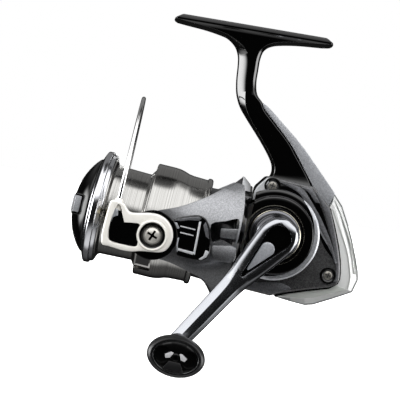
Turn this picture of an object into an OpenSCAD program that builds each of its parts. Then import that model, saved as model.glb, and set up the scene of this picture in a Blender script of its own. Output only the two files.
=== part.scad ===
/* [Foot and stem] */
// Length of the foot along the rod
foot_len = 61.4; // [58:0.2:64]
// Width of the foot
foot_w = 13; // [12:0.5:15]
// Thickness of the stem from side to side
stem_w = 10.4; // [9:0.2:12]
/* [Gear case] */
// Near wall of the gear case, where the side cover sits
case_near = -7.6; // [-8:0.1:-7.4]
// Far outer wall of the gear case
case_far = 11; // [11:0.1:12]
// Outer face of the side cover
cover_face = -11.6; // [-12:0.1:-11.4]
// Wall thickness of the case and its covers
wall = 1.6; // [1.4:0.1:1.7]
// Radius of the round boss on the side cover
boss_r = 17; // [16.5:0.1:17.2]
/* [Spool and rotor] */
// Tilt of the spool axis against the foot, in degrees
tilt = 4.2; // [3.8:0.1:4.6]
// Radius of the spool lip and skirt
spool_r = 21.7; // [21.5:0.1:21.9]
// Radius of the arbor that the line is wound on
arbor_r = 17.3; // [16.8:0.1:17.6]
// Radius of the rotor's centre cylinder
rotor_r = 17.4; // [17:0.1:17.6]
// Largest radius of the ring at the back of the rotor
ring_r = 24.6; // [24.2:0.1:25]
// Radius of the main shaft
shaft_r = 2; // [1.9:0.05:2.1]
/* [Bail] */
// Height of the bail wire's top above the spool axis
bail_top = 44.4; // [42:0.2:46]
// Sideways distance of the bail wire's ends from the axis
bail_half = 28.6; // [28.4:0.1:28.8]
// Thickness of the bail wire
wire_d = 1.7; // [1.4:0.1:2]
// Place of the wire's near end along the spool axis
wire_near = 8.4; // [8:0.1:8.6]
// Place of the wire's far end along the spool axis
wire_far = 5.2; // [5:0.1:5.6]
/* [Handle] */
// Distance from the drive axis to the knob axis
handle_len = 49.7; // [47:0.1:52]
// Direction of the handle at rest, in degrees
handle_turn = 120.8; // [110:0.1:130]
// Outer face of the handle's hub
hub_face = -40; // [-41:0.1:-39]
// Outer end of the handle knob
knob_end = -75; // [-77:0.1:-73]
/* [Gears] */
// Tooth count of the drive gear
drive_teeth = 37; // [36:1:38]
// Tooth count of the pinion
pinion_teeth = 7; // [6:1:8]
// Tooth count of the small oscillation gear
small_teeth = 14; // [12:1:16]
// Tooth count of the large oscillation gear
large_teeth = 28; // [24:1:32]
/* [Hidden] */
$fn = 64;
// Middle of the spool lip, where the spool axis starts
lip = [-46.9, -77.5];
// Screws of the side cover: place on the cover, and how deep the tip reaches
side_screws = [[16.2, -58.4, 1], [42.3, -88, -4.4], [12.2, -93.4, 1]];
rear_screws = [[49.8, -90], [36.4, -98.2]];
// Places measured along the spool axis (first) and up from it (second)
drive = [66, 6.25];
osc = [78.6, 1.0];
hinge = [22.9, -3.8];
roller = [9.6, -1.8];
slot_u = 80.8;
osc_crank = 6.6;
seat_u = 56;
rotor_back = 54.9;
// Sides of the rotor arms and the bail levers
arm_in_r = 22.6;
arm_face = 27.7;
lever_in = 28.2;
lever_out = 31.4;
shaft_bore = shaft_r + 0.05;
pinion_r = 3.5;
drive_r = 3.2;
nose_r = 19.4;
gear_r = 13.8;
handle_bolt_r = 2;
clutch_screw_r = 12.5;
// Where the line clip sits round the skirt, in degrees
clip_turn = 134;

// Seam between the stem and the silver fairing on its back
FAIRING_SEAM = [[8, -28], [8.6, -29.9], [13.8, -34.9], [20.4, -41.2], [25.3, -47.2], [31.9, -56.2]];
// Seams of the gear case with the fairing and with the rear cover
CASE_TOP = [[31.9, -56.2], [34.6, -59.2], [38.8, -63]];
CASE_BACK = [
    [38.8, -63], [41.4, -69.1], [44.1, -76.2], [45.9, -82.3], [46.7, -87.1], [46.4, -90.2],
    [43.8, -92.2], [34.7, -94.8], [26.4, -97.4], [22.2, -99.2]
];
// Outline of the foot and stem, seen from the side
STEM = concat([
    [-foot_len / 2, 0], [-foot_len / 2 + 0.2, -1.2], [-25.6, -2.2], [-17.6, -3.3],
    [-11.6, -4.7], [-8, -6.5], [-5.6, -9], [-4.4, -12], [-3.9, -16], [-3.5, -20.6],
    [-2.8, -25.2], [-1.2, -29.2], [0.7, -32.4], [4.6, -36.8], [9.4, -42.2], [13.3, -47],
    [15.3, -50.6], [15.6, -53.3], [13.6, -57.6], [16, -64], [31, -64]
], backward(FAIRING_SEAM), [
    [5.2, -25], [4.3, -21.5], [4.1, -12.3], [4.4, -8.8], [5.4, -7], [7.1, -5.6],
    [10.8, -4.4], [16.5, -3.3], [25, -2.4], [foot_len / 2 - 0.2, -1.2], [foot_len / 2, 0]
]);
// Outline of the gear case, behind the rotor
CASE = concat([
    [7.75, -98], [8.95, -81.6], [10.5, -59.6], [14.3, -54.9], [22.4, -55.6]
], CASE_TOP, [for (i = [1 : len(CASE_BACK) - 1]) CASE_BACK[i]], [[18, -98.9]]);
// Outer edge of the rear cover
REAR_EDGE = [
    [40.6, -57.6], [43.8, -61.4], [47.2, -68], [49.9, -74], [52.2, -80], [53.9, -85],
    [54.6, -88.2], [53.2, -93.2], [46, -96.9], [39.1, -100.4], [36.1, -101.1], [30.5, -100.6]
];
REAR = concat(REAR_EDGE, backward(CASE_BACK));
REAR_ROOM = concat(REAR_EDGE, [for (p = backward(CASE_BACK)) p + [-3, 3]]);
// Outline of the silver fairing down the back of the stem
FAIRING = concat([
    [8, -28], [11.2, -30], [15.8, -33.7], [24.8, -41.2], [32.2, -48.6], [39.4, -56.1],
    [40.6, -57.6]
], backward(CASE_TOP), [for (i = [len(FAIRING_SEAM) - 2 : -1 : 1]) FAIRING_SEAM[i]]);
// Outline of a rotor arm, along the spool axis and up
ARM = [
    [49.6, 22.8], [47, 20.6], [42.7, 17.4], [39.3, 14.5], [36.4, 12.4], [33.2, 10.2],
    [28.3, 7.5], [22, 4.8], [18.4, 2.2], [15.9, -1.8], [16.2, -6.8], [19.3, -10.6],
    [25, -11.7], [31.2, -12.2], [38.4, -13.8], [45.2, -16], [49.6, -21.2], [52, -20],
    [53.4, -13.6], [53.8, -4], [53.6, 9.2], [52.6, 16.4], [51, 21.8]
];
// Outline of the near bail lever, which carries the line roller
LEVER = [
    [8.6, 5.4], [6.4, 5], [5.5, 0.5], [5.1, -4], [5.3, -9], [6, -11], [9.8, -11.3],
    [14, -11.5], [18.4, -11.1], [21.7, -10.6], [27, -9.8], [29.8, -6.9], [30.5, -3.4],
    [29.2, 0.6], [26.4, 3.1], [23, 3.9], [19.4, 3.5], [14.6, 2.3], [12.2, 2.8], [10.6, 4.8]
];
// Pocket in the outer face of that lever
LEVER_POCKET = [
    [10.2, 3.6], [8.3, 3.8], [7.1, -1.5], [6.9, -8.6], [11.5, -9.4], [16.4, -9.3],
    [17.6, -5.6], [17.4, -1.2], [12.4, -1.6], [11.4, 1]
];
// Outline of the far bail holder
HOLDER = [
    [7.2, 6.4], [3.3, 5.9], [3.5, 2.4], [10.5, -3], [16.6, -8], [20.4, -10.6], [25.2, -10.8],
    [29, -8], [30.3, -3.6], [28.8, 0.8], [25.2, 3.4], [20.4, 3.7], [13.4, 3.7]
];
// Outline of the cover over the rotor arm's mechanism
ARM_COVER = [
    [29.4, 3.2], [32.2, 4.6], [36.7, 6.8], [39.8, 6.2], [42.4, 3.3], [43.6, -2.4], [44.1, -6],
    [42.7, -8.5], [33.6, -9], [31.4, -6.2], [31.6, -3.4], [31, -0.2]
];

function unit(v) = v / norm(v);
// Moves each corner of a clockwise outline inward by d
function inset(p, d) = let (n = len(p)) [
    for (i = [0 : n - 1]) let (
        a = unit(p[i] - p[(i + n - 1) % n]),
        b = unit(p[(i + 1) % n] - p[i]),
        na = [a[1], -a[0]],
        nb = [b[1], -b[0]]
    ) p[i] + d * (na + nb) / (1 + na * nb)
];
// Points of an ellipse with half sizes a and b
function oval(a, b, n = 40) = [for (i = [0 : n - 1]) [a * cos(360 * i / n), b * sin(360 * i / n)]];
// Outline of a spur gear with straight-sided teeth
function gear_outline(teeth, root, tip) = [
    for (i = [0 : teeth - 1]) for (k = [[0.1, root], [0.3, tip], [0.7, tip], [0.9, root]])
        let (a = 360 * (i + k[0]) / teeth) k[1] * [cos(a), sin(a)]
];
// Reversed copy of a list
function backward(p) = [for (i = [len(p) - 1 : -1 : 0]) p[i]];

// Frame of the spool axis: X runs back along it, Z is up from it
module on_axis() {
    translate([lip[0], 0, lip[1]]) rotate([0, tilt, 0]) children();
}
// Moves children to a place along and above the spool axis
module at(place) {
    translate([place[0], 0, place[1]]) children();
}
// Solid of revolution about X, from a list of [x, radius]
module turned(profile) {
    rotate([0, 90, 0]) rotate_extrude() polygon([for (p = profile) [p[1], p[0]]]);
}
// Solid of revolution about Y, from a list of [y, radius]
module turned_y(profile) {
    rotate([-90, 0, 0]) rotate_extrude() polygon([for (p = profile) [p[1], p[0]]]);
}
module rod_x(r, x0, x1) {
    translate([x0, 0, 0]) rotate([0, 90, 0]) cylinder(r = r, h = x1 - x0);
}
module rod_y(r, y0, y1) {
    translate([0, y0, 0]) rotate([-90, 0, 0]) cylinder(r = r, h = y1 - y0);
}
module tube_x(r, bore, x0, x1) {
    difference() {
        rod_x(r, x0, x1);
        rod_x(bore, x0 - 1, x1 + 1);
    }
}
module tube_y(r, bore, y0, y1) {
    difference() {
        rod_y(r, y0, y1);
        rod_y(bore, y0 - 1, y1 + 1);
    }
}
module both_sides() {
    children();
    mirror([0, 1, 0]) children();
}
// Plate with a given side outline, from y0 to y1
module plate(outline, y0, y1) {
    translate([0, y1, 0]) rotate([90, 0, 0]) linear_extrude(y1 - y0) polygon(outline);
}
// Ball bearing about Y
module bearing_y(bore, outer, y0, y1, balls) {
    ring = (outer - bore) * 0.28;
    ball = (outer - bore) / 2 - ring - 0.05;
    tube_y(outer, outer - ring, y0, y1);
    tube_y(bore + ring, bore, y0, y1);
    for (i = [0 : balls - 1])
        rotate([0, 360 * i / balls, 0]) translate([(bore + outer) / 2, (y0 + y1) / 2, 0]) sphere(r = ball);
}
// Cross-head screw about Y with its head at the near side
module screw_y(head, shank, y_head, y_tip) {
    difference() {
        union() {
            rod_y(head, y_head, y_head + 1.2);
            rod_y(shank, y_head + 1.1, y_tip);
        }
        for (a = [45, 135])
            rotate([0, a, 0]) translate([-head * 0.6, y_head - 1, -head * 0.11])
                cube([head * 1.2, 1.6, head * 0.22]);
    }
}
// Wire coil about X with its centre line radius r, swept as one closed tube
module coil(r, wire, turns, x0, x1) {
    ring = 16;
    side = 8;
    n = turns * ring;
    points = [
        for (i = [0 : n]) let (a = 360 * i / ring) for (k = [0 : side - 1]) let (b = 360 * k / side)
            [
                x0 + (x1 - x0) * i / n + wire * sin(b),
                (r + wire * cos(b)) * cos(a),
                (r + wire * cos(b)) * sin(a)
            ]
    ];
    skin = [
        for (i = [0 : n - 1]) for (k = [0 : side - 1])
            [i * side + k, i * side + (k + 1) % side, (i + 1) * side + (k + 1) % side, (i + 1) * side + k]
    ];
    first = [for (k = [side - 1 : -1 : 0]) k];
    last = [for (k = [0 : side - 1]) n * side + k];
    polyhedron(points, concat([first, last], skin), 8);
}

/* ---- gear case and stem ---- */

module foot_plan() {
    hull() {
        translate([-foot_len / 2 + 5, 0]) circle(d = foot_w - 3, $fn = 32);
        translate([foot_len / 2 - 5, 0]) circle(d = foot_w - 3, $fn = 32);
        square([foot_len * 0.5, foot_w], center = true);
    }
}
module body_frame() {
    color("#0b0b0d") difference() {
        union() {
            intersection() {
                plate(STEM, -foot_w / 2, foot_w / 2);
                union() {
                    translate([0, 0, -5]) linear_extrude(6) foot_plan();
                    translate([-12, -stem_w / 2, -70]) cube([60, stem_w, 68]);
                }
            }
            plate(CASE, case_near, case_far);
            on_axis() {
                // Round nose, flat where the side cover lies on it
                intersection() {
                    rod_x(nose_r, 47, seat_u + 0.6);
                    translate([40, case_near + 0.1, -30]) cube([20, 60, 60]);
                }
                at(drive) rod_y(12.5, case_far - 1, 16.4);
            }
        }
        plate(inset(CASE, wall), case_near - 1, case_far - wall);
        on_axis() {
            // Gear room in the round nose
            intersection() {
                at(drive) rod_y(gear_r + 0.8, -30, case_far - wall);
                union() {
                    rod_x(18, 50.8, 70);
                    translate([seat_u + 0.3, -12, -30]) cube([8, 7, 60]);
                }
            }
            rod_x(6.5, 46, 60);
            // Far drive bearing seat and handle port
            at(drive) rod_y(7, 0, 14.6);
            at(drive) rod_y(5.2, 0, 18);
            for (a = [90, 210, 330])
                rotate([a, 0, 0]) translate([0, 0, clutch_screw_r]) rod_x(0.8, 46, 50);
        }
        for (p = side_screws) translate([p[0], 0, p[1]]) rod_y(0.9, -8, p[2] + 0.2);
    }
    color("#0b0b0d") {
        for (p = side_screws) translate([p[0], 0, p[1]]) difference() {
            rod_y(2.8, case_near, p[2] + 1);
            rod_y(0.9, -8, p[2] + 0.2);
        }
        // Lugs for the pinion bushing and the guide rod
        on_axis() {
            difference() {
                translate([58.4, -4.3, -4.6]) cube([2.6, 13.8, 9.2]);
                rod_x(4, 50, 70);
            }
            for (u = [61.4, 88.3]) difference() {
                translate([u, -2, -7.4]) cube([1.8, 11.5, 3.6]);
                translate([0, 0, -5.6]) rod_x(1, 50, 95);
            }
        }
    }
}
module stem_fairing() {
    color("#a9abaf") plate(FAIRING, -stem_w / 2, stem_w / 2);
}
module side_cover() {
    color("#3d3e42") difference() {
        union() {
            plate(CASE, cover_face, case_near - 0.02);
            on_axis() at(drive) rod_y(boss_r, -15, cover_face + 1);
        }
        plate(inset(CASE, wall), cover_face + wall, case_near + 1);
        on_axis() {
            at(drive) rod_y(14.9, -13.2, case_near + 1);
            at(drive) rod_y(boss_r - 1.5, -20, -14);
            at(drive) rod_y(7.2, -30, 0);
            difference() {
                translate([30, -30, -30]) cube([seat_u - 30, 60, 60]);
                rod_x(nose_r, 20, 60);
            }
        }
        for (p = side_screws) translate([p[0], 0, p[1]]) {
            rod_y(0.95, -20, 0);
            rod_y(2.6, -20, cover_face + 0.9);
        }
    }
    color("#3d3e42") for (p = side_screws) translate([p[0], 0, p[1]])
        tube_y(2.2, 0.95, cover_face + wall - 0.2, case_near - 0.02);
}
module side_cover_screws() {
    color("#c9c6bd") for (p = side_screws) translate([p[0], 0, p[1]])
        screw_y(1.9, 0.88, cover_face - 0.3, p[2]);
}
module rear_cover() {
    color("#dcdcd8") difference() {
        plate(REAR, -9.6, 9.6);
        plate(inset(REAR_ROOM, 1.3), -8.2, 8.2);
        for (p = rear_screws) translate([p[0], 0, p[1]]) {
            rod_y(0.85, -8, 20);
            rod_y(1.5, 9.15, 20);
        }
    }
}
module rear_cover_screws() {
    color("#c9c6bd") for (p = rear_screws) translate([p[0], 0, p[1]])
        mirror([0, 1, 0]) screw_y(1.4, 0.8, -10.35, 6);
}
module boss_ring() {
    color("#c4c6c9") on_axis() at(drive) difference() {
        turned_y([[-16.4, 14.9], [-16.4, 16], [-15.2, boss_r - 1.5], [-14.02, boss_r - 1.5],
                  [-14.02, 12], [-14.6, 12], [-14.6, 14.9]]);
        on_axis_clear();
    }
}
// Keeps the boss pieces clear of the turning rotor
module on_axis_clear() {
    translate([-30, -30, -40]) cube([30 + seat_u - drive[0], 60, 80]);
}
module boss_cap() {
    color("#08080a") on_axis() at(drive) difference() {
        turned_y([[-19.4, 7.6], [-19.9, 9], [-19.9, 12.4], [-17.6, 14.7], [-14.62, 14.8],
                  [-14.62, 11.8], [-14.04, 11.8], [-14.04, 7.22], [-16.6, 7.22], [-16.6, 5.4],
                  [-19.4, 5.4]]);
        on_axis_clear();
    }
}
module drive_bearing_near() {
    color("#8f9092") on_axis() at(drive) bearing_y(drive_r + 0.04, 7.2, -16.55, -12.6, 8);
}
module drive_bearing_far() {
    color("#8f9092") on_axis() at(drive) bearing_y(drive_r + 0.04, 7, 10.4, 14.4, 8);
}
module port_cap() {
    color("#08080a") on_axis() at(drive)
        turned_y([[14.8, 0], [14.8, 5.2], [16.42, 5.2], [16.42, 7.4], [18.2, 7], [19, 5], [19, 0]]);
}

/* ---- pinion, clutch and oscillation parts in the case ---- */

module clutch_housing() {
    color("#1b1b1d") on_axis() difference() {
        turned([[36.6, 6.6], [36.6, 13.4], [37.6, 14.2], [46.95, 14.2], [46.95, 11.52],
                [38, 11.52], [38, 6.6]]);
        for (a = [90, 210, 330])
            rotate([a, 0, 0]) translate([0, 0, clutch_screw_r]) rod_x(0.8, 30, 50);
    }
}
module clutch_ring() {
    color("#8f9092") on_axis() tube_x(11.5, 8.5, 38.05, 46.9);
}
module clutch_rollers() {
    color("#b7b8ba") on_axis() for (i = [0 : 7])
        rotate([45 * i, 0, 0]) translate([0, 0, 7.2]) rod_x(1.2, 39.4, 45.8);
}
module clutch_screws() {
    color("#8f9092") on_axis() for (a = [90, 210, 330])
        rotate([a, 0, 0]) translate([0, 0, clutch_screw_r]) rod_x(0.78, 36, 49.6);
}
module pinion_bearing() {
    color("#8f9092") on_axis() rotate([0, 0, -90]) bearing_y(pinion_r + 0.04, 6.5, 47.1, 50.6, 8);
}
module pinion_bushing() {
    color("#a58a55") on_axis() tube_x(4, 2.95, 58.4, 61);
}
module guide_rod() {
    color("#b7b8ba") on_axis() translate([0, 0, -5.6]) rod_x(1, 61.4, 90);
}
module oscillating_axle() {
    color("#b7b8ba") on_axis() at(osc) rod_y(1.6, 5.9, case_far - wall);
}

/* ---- handle and drive gear ---- */

module drive_shaft() {
    color("#8f9092") on_axis() at(drive)
        turned_y([[-20.6, handle_bolt_r], [-20.6, drive_r], [-4.4, drive_r], [-4.4, 2.8],
                  [4.6, 2.8], [4.6, drive_r], [14.3, drive_r], [14.3, handle_bolt_r]]);
}
module drive_gear() {
    color("#9a958a") on_axis() at(drive) {
        turned_y([[-9.4, drive_r], [-9.4, gear_r], [-6, gear_r], [-6, 10.6], [-7.4, 10.2],
                  [-7.4, 5.4], [-4.8, 5.4], [-4.8, drive_r]]);
        for (i = [0 : drive_teeth - 1])
            rotate([0, 360 * i / drive_teeth, 0]) translate([10.8, -6.2, -0.45]) cube([2.9, 1.6, 0.9]);
    }
}
module oscillating_drive_gear() {
    color("#9a958a") on_axis() at(drive) difference() {
        translate([0, 8.6, 0]) rotate([90, 0, 0])
            linear_extrude(2.6) polygon(gear_outline(small_teeth, 3.8, 4.35));
        rod_y(drive_r, 0, 12);
    }
}
module oscillating_gear() {
    color("#d9d5c8") on_axis() at(osc) {
        difference() {
            translate([0, 8.6, 0]) rotate([90, 0, 0])
                linear_extrude(2.6) polygon(gear_outline(large_teeth, 8.5, 9.1));
            rod_y(1.65, 0, 12);
        }
        translate([osc_crank * cos(70), 0, osc_crank * sin(70)]) rod_y(1.1, 4.6, 6.1);
    }
}
module handle_collar() {
    color("#bdb7a6") on_axis() at(drive)
        turned_y([[-20, drive_r], [-20, 8.4], [-21, 9.4], [-22.6, 9.4], [-24.2, 8.2],
                  [-26.4, 7.4], [-27.4, 6.6], [-27.4, handle_bolt_r], [-20.65, handle_bolt_r],
                  [-20.65, drive_r]]);
}
// Frame of the handle: X runs along the arm from the drive axis
module on_handle() {
    on_axis() at(drive) rotate([0, handle_turn, 0]) children();
}
module handle_arm() {
    color("#9b9ca0") on_handle() difference() {
        union() {
            hull() {
                rod_y(7.1, hub_face, hub_face + 6, $fn = 32);
                translate([23, 0, 0]) rod_y(3.8, hub_face - 1.4, hub_face + 3.8, $fn = 32);
            }
            hull() {
                translate([23, 0, 0]) rod_y(3.8, hub_face - 1.4, hub_face + 3.8, $fn = 32);
                translate([handle_len, 0, 0]) rod_y(3.3, hub_face - 4.4, hub_face + 0.4, $fn = 32);
            }
            rod_y(6.4, hub_face + 1, -27.45);
        }
        rod_y(handle_bolt_r, -50, 0);
        translate([handle_len, 0, 0]) rod_y(1.6, -60, 0);
        // Teardrop pocket in the outer face
        hull() {
            rod_y(4.6, -50, hub_face + 3, $fn = 32);
            translate([16.4, 0, 0]) rod_y(0.5, -50, hub_face + 3, $fn = 32);
        }
    }
}
module handle_insert() {
    color("#b4b6ba") on_handle() hull() {
        translate([5.6, 0, 0]) rod_y(2.4, hub_face + 0.6, hub_face + 2.98, $fn = 32);
        translate([13, 0, 0]) rod_y(0.4, hub_face + 0.2, hub_face + 2.98, $fn = 32);
    }
}
module handle_bolt() {
    color("#6f7073") on_handle() {
        rod_y(handle_bolt_r, hub_face + 3.2, 13.6);
        rod_y(2.9, hub_face + 1.6, hub_face + 2.98);
        rod_y(handle_bolt_r, hub_face + 2.9, hub_face + 3.3);
    }
}
module knob_shaft() {
    color("#8f9092") on_handle() translate([handle_len, 0, 0]) difference() {
        union() {
            rod_y(1.6, hub_face - 5, hub_face + 1);
            rod_y(2.2, -69, hub_face - 4.42);
            rod_y(3.2, hub_face - 5.2, hub_face - 4.42);
        }
        rod_y(0.9, -70, -60);
    }
}
module knob_screw() {
    color("#6f7073") on_handle() translate([handle_len, 0, 0]) {
        rod_y(2.9, -70.4, -69.02);
        rod_y(0.9, -69.1, -61);
    }
}
// Turns the knob's oval so that it lies level at rest
module on_knob() {
    on_handle() translate([handle_len, 0, 0]) rotate([0, -handle_turn - tilt + 4, 0]) children();
}
module knob_slice(a, b, y) {
    translate([0, y + 0.2, 0]) rotate([90, 0, 0]) linear_extrude(0.2) polygon(oval(a, b));
}
module handle_knob() {
    color("#26262a") on_knob() difference() {
        hull() {
            knob_slice(4.4, 4.2, -46);
            knob_slice(6.4, 5, -53);
            knob_slice(8.8, 6.4, -66);
            knob_slice(9.2, 6.9, knob_end + 3.4);
            knob_slice(8.7, 6.4, knob_end + 1);
        }
        rod_y(3, -80, -40);
        rod_y(3.4, -80, -68.7);
        translate([0, knob_end + 2, 0]) rotate([90, 0, 0]) linear_extrude(4) polygon(oval(7.7, 5.4));
    }
}
module knob_cap() {
    color("#101012") on_knob() difference() {
        translate([0, knob_end + 2, 0]) rotate([90, 0, 0]) linear_extrude(2) polygon(oval(7.65, 5.35));
        for (x = [-4.6, 4.6]) translate([x, 0, 0]) rod_y(2, -80, knob_end + 0.9);
        rod_y(0.6, -80, knob_end + 0.9);
    }
}
module knob_bushings() {
    color("#c8c2ae") on_handle() translate([handle_len, 0, 0]) {
        tube_y(3, 2.25, -68.6, -64);
        tube_y(3, 2.25, -51.5, -47);
    }
}

/* ---- rotor ---- */

module rotor_arm() {
    difference() {
        intersection() {
            plate(ARM, -arm_face, -16);
            turned([[10, 0], [10, 30.5], [42, 30.5], [50.3, 25.6], [54.2, 24], [54.2, 0]]);
        }
        // Pocket for the bail spring under the cover
        plate(inset(ARM_COVER, 1.2), -40, -24.3);
    }
}
module rotor() {
    color("#85878c") on_axis() difference() {
        union() {
            turned([[27, 15.6], [27, rotor_r - 0.6], [27.8, rotor_r], [44, rotor_r], [46.4, 19.4],
                    [48.4, 21.8], [50.3, 24], [50.3, 21], [47.2, 20.2], [45.6, 18],
                    [45.4, 15.6]]);
            turned([[30, pinion_r], [30, 15.8], [32.2, 15.8], [32.2, 6.5], [34.3, 6.5],
                    [34.3, pinion_r]]);
            difference() {
                both_sides() rotor_arm();
                rod_x(arm_in_r, 0, 45);
                rod_x(19.6, 40, 47.6);
                rod_x(21.4, 47, 60);
                rotor_rear_space();
            }
        }
        both_sides() at(hinge) rod_y(2.25, -40, -10);
        // Slot that lets the kick lever reach the back of the rotor
        translate([42.2, -27, -5.4]) cube([4.6, 5, 2.2]);
    }
}
module rotor_rear_space() {
    turned([[50.28, 18], [50.28, ring_r + 5], [60, ring_r + 5], [60, 18]]);
}
module rotor_rear_ring() {
    color("#111113") on_axis()
        turned([[50.3, 21], [50.3, ring_r], [51, ring_r], [54, 22.4], [rotor_back, 21.8],
                [rotor_back, 20.6], [54.2, 20.2], [51.6, 20.2]]);
}
module pinion_gear() {
    color("#b09a6a") on_axis() difference() {
        union() {
            rod_x(pinion_r, 25.6, 51.6);
            translate([51.5, 0, 0]) rotate([0, 90, 0])
                linear_extrude(6.2) polygon(gear_outline(pinion_teeth, 3.5, 4.2));
            rod_x(2.9, 57.6, 61.2);
        }
        rod_x(shaft_bore, 20, 70);
    }
}
module clutch_sleeve() {
    color("#b7b8ba") on_axis() tube_x(5.9, pinion_r, 34.32, 47);
}
module rotor_nut() {
    color("#b7b8ba") on_axis() difference() {
        translate([26.4, 0, 0]) rotate([0, 90, 0]) cylinder(r = 6.2, h = 3.6, $fn = 6);
        rod_x(pinion_r, 20, 40);
    }
}
module nut_lock() {
    color("#8f9092") on_axis() {
        difference() {
            rod_x(9.4, 29.2, 29.98);
            translate([28, 0, 0]) rotate([0, 90, 0]) cylinder(r = 6.25, h = 4, $fn = 6);
            translate([0, 0, 7.9]) rod_x(0.8, 20, 40);
        }
        translate([0, 0, 7.9]) {
            rod_x(1.5, 28.2, 29.18);
            rod_x(0.8, 29.18, 29.98);
        }
    }
}
module arm_cover() {
    color("#0b0b0d") difference() {
        plate(ARM_COVER, -30.4, -arm_face - 0.02);
        plate(inset(ARM_COVER, 1.3), -29, -20);
    }
}
module arm_cover_near() {
    on_axis() arm_cover();
}
module arm_cover_far() {
    on_axis() mirror([0, 1, 0]) arm_cover();
}
module bail_spring() {
    color("#b7b8ba") on_axis() translate([0, -26.4, 1.6]) coil(1.3, 0.3, 6, 33.6, 41);
}
module kick_lever() {
    color("#8f9092") on_axis() {
        translate([33.4, -26.4, -5.2]) cube([13, 1.4, 1.8]);
        translate([45.2, -26.4, -5.2]) cube([1.2, 3.2, 1.8]);
    }
}

/* ---- bail ---- */

module bail_arm() {
    color("#dcd9d0") on_axis() difference() {
        union() {
            plate(LEVER, -lever_out, -lever_in);
            at(hinge) rod_y(6.2, -lever_out - 0.6, -lever_in);
            // Socket that the wire's end sits in
            wire_socket(wire_near);
        }
        plate(LEVER_POCKET, -40, -lever_out + 1.6);
        at(hinge) {
            rod_y(2.2, -40, -20);
            rod_y(4.6, -40, -lever_in - 1.6);
        }
        at(roller) rod_y(1.2, -40, -20);
        wire_bore(wire_near);
    }
}
module wire_socket(place) {
    translate([place, -bail_half - 0.2, 2.4]) cylinder(r = 1.8, h = 3.6);
}
module wire_bore(place) {
    translate([place, -bail_half, 4.1]) cylinder(r = wire_d / 2 + 0.07, h = 4);
}
module bail_holder() {
    color("#dcd9d0") on_axis() difference() {
        union() {
            plate(HOLDER, lever_in, lever_out);
            mirror([0, 1, 0]) wire_socket(wire_far);
        }
        at(hinge) {
            rod_y(2.2, 20, 40);
            rod_y(4.2, lever_in + 1.6, 40);
        }
        mirror([0, 1, 0]) wire_bore(wire_far);
    }
}
// The bail wire's centre line: an arch from the near lever to the far holder, leaning forward at its top
wire_lean = 0.4;
function wire_point(t) = [
    (wire_near + wire_far) / 2 + (wire_near - wire_far) / 2 * cos(t) - wire_lean * sin(t),
    -bail_half * cos(t),
    4.2 + (bail_top - 4.2) * sin(t)
];
module wire_tube(r) {
    n = 30;
    side = 10;
    points = [
        for (i = [0 : n]) let (
            t = 180 * i / n,
            p = wire_point(t),
            forward = -(wire_near - wire_far) / 2 * sin(t) - wire_lean * cos(t),
            d = unit([forward, bail_half * sin(t), (bail_top - 4.2) * cos(t)]),
            u = unit(cross(d, [1, 0, 0])),
            w = cross(d, u)
        ) for (k = [0 : side - 1]) p + r * (cos(360 * k / side) * u + sin(360 * k / side) * w)
    ];
    skin = [
        for (i = [0 : n - 1]) for (k = [0 : side - 1])
            [i * side + k, i * side + (k + 1) % side, (i + 1) * side + (k + 1) % side, (i + 1) * side + k]
    ];
    first = [for (k = [side - 1 : -1 : 0]) k];
    last = [for (k = [0 : side - 1]) n * side + k];
    polyhedron(points, concat([first, last], skin), 8);
}
module bail_wire() {
    color("#d8d8d6") on_axis() wire_tube(wire_d / 2);
}
module bail_pivot_screws() {
    color("#cfccc2") on_axis() both_sides() at(hinge) difference() {
        union() {
            rod_y(3.6, -lever_in - 3, -lever_in - 1.6);
            rod_y(2.2, -lever_in - 1.7, -arm_in_r - 0.9);
        }
        for (a = [45, 135])
            rotate([0, a, 0]) translate([-2.2, -lever_in - 4, -0.4]) cube([4.4, 1.8, 0.8]);
    }
}
module roller_screw() {
    color("#77797d") on_axis() at(roller) {
        rod_y(1.2, -lever_out + 0.6, -23.2);
        rod_y(2.1, -23.7, -23.1);
        rod_y(1.9, -lever_out + 0.5, -lever_out + 1.58);
    }
}
module line_roller() {
    color("#b9a671") on_axis() at(roller)
        turned_y([[-28, 1.26], [-28, 2.9], [-27, 2.8], [-26.2, 2.2], [-25.4, 2.2], [-24.6, 2.8],
                  [-23.8, 2.9], [-23.8, 1.26]]);
}

/* ---- main shaft and its slider ---- */

module main_shaft() {
    color("#b7b8ba") on_axis() difference() {
        rod_x(shaft_r, -6.4, 83);
        translate([slot_u, 0, 0]) rod_y(0.9, -5, 0);
    }
}
module slider() {
    color("#8f9092") on_axis() difference() {
        translate([slot_u - 2.7, -2.8, -7.2]) cube([5.4, 7, 16.8]);
        rod_x(shaft_r, 70, 83);
        translate([0, 0, -5.6]) rod_x(1.06, 70, 95);
        translate([slot_u - 1.35, 2.7, -6.8]) cube([2.7, 4, 15.8]);
        translate([slot_u, 0, 0]) rod_y(0.9, -5, 0);
    }
}
module slider_screw() {
    color("#6f7073") on_axis() translate([slot_u, 0, 0]) {
        rod_y(0.9, -2.82, 0);
        rod_y(1.8, -4, -2.82);
    }
}
module click_gear() {
    color("#d9d5c8") on_axis() difference() {
        translate([19.2, 0, 0]) rotate([0, 90, 0]) linear_extrude(1.6) polygon(gear_outline(24, 6.4, 7.2));
        rod_x(shaft_r, 10, 30);
    }
}

/* ---- spool and drag ---- */

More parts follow.
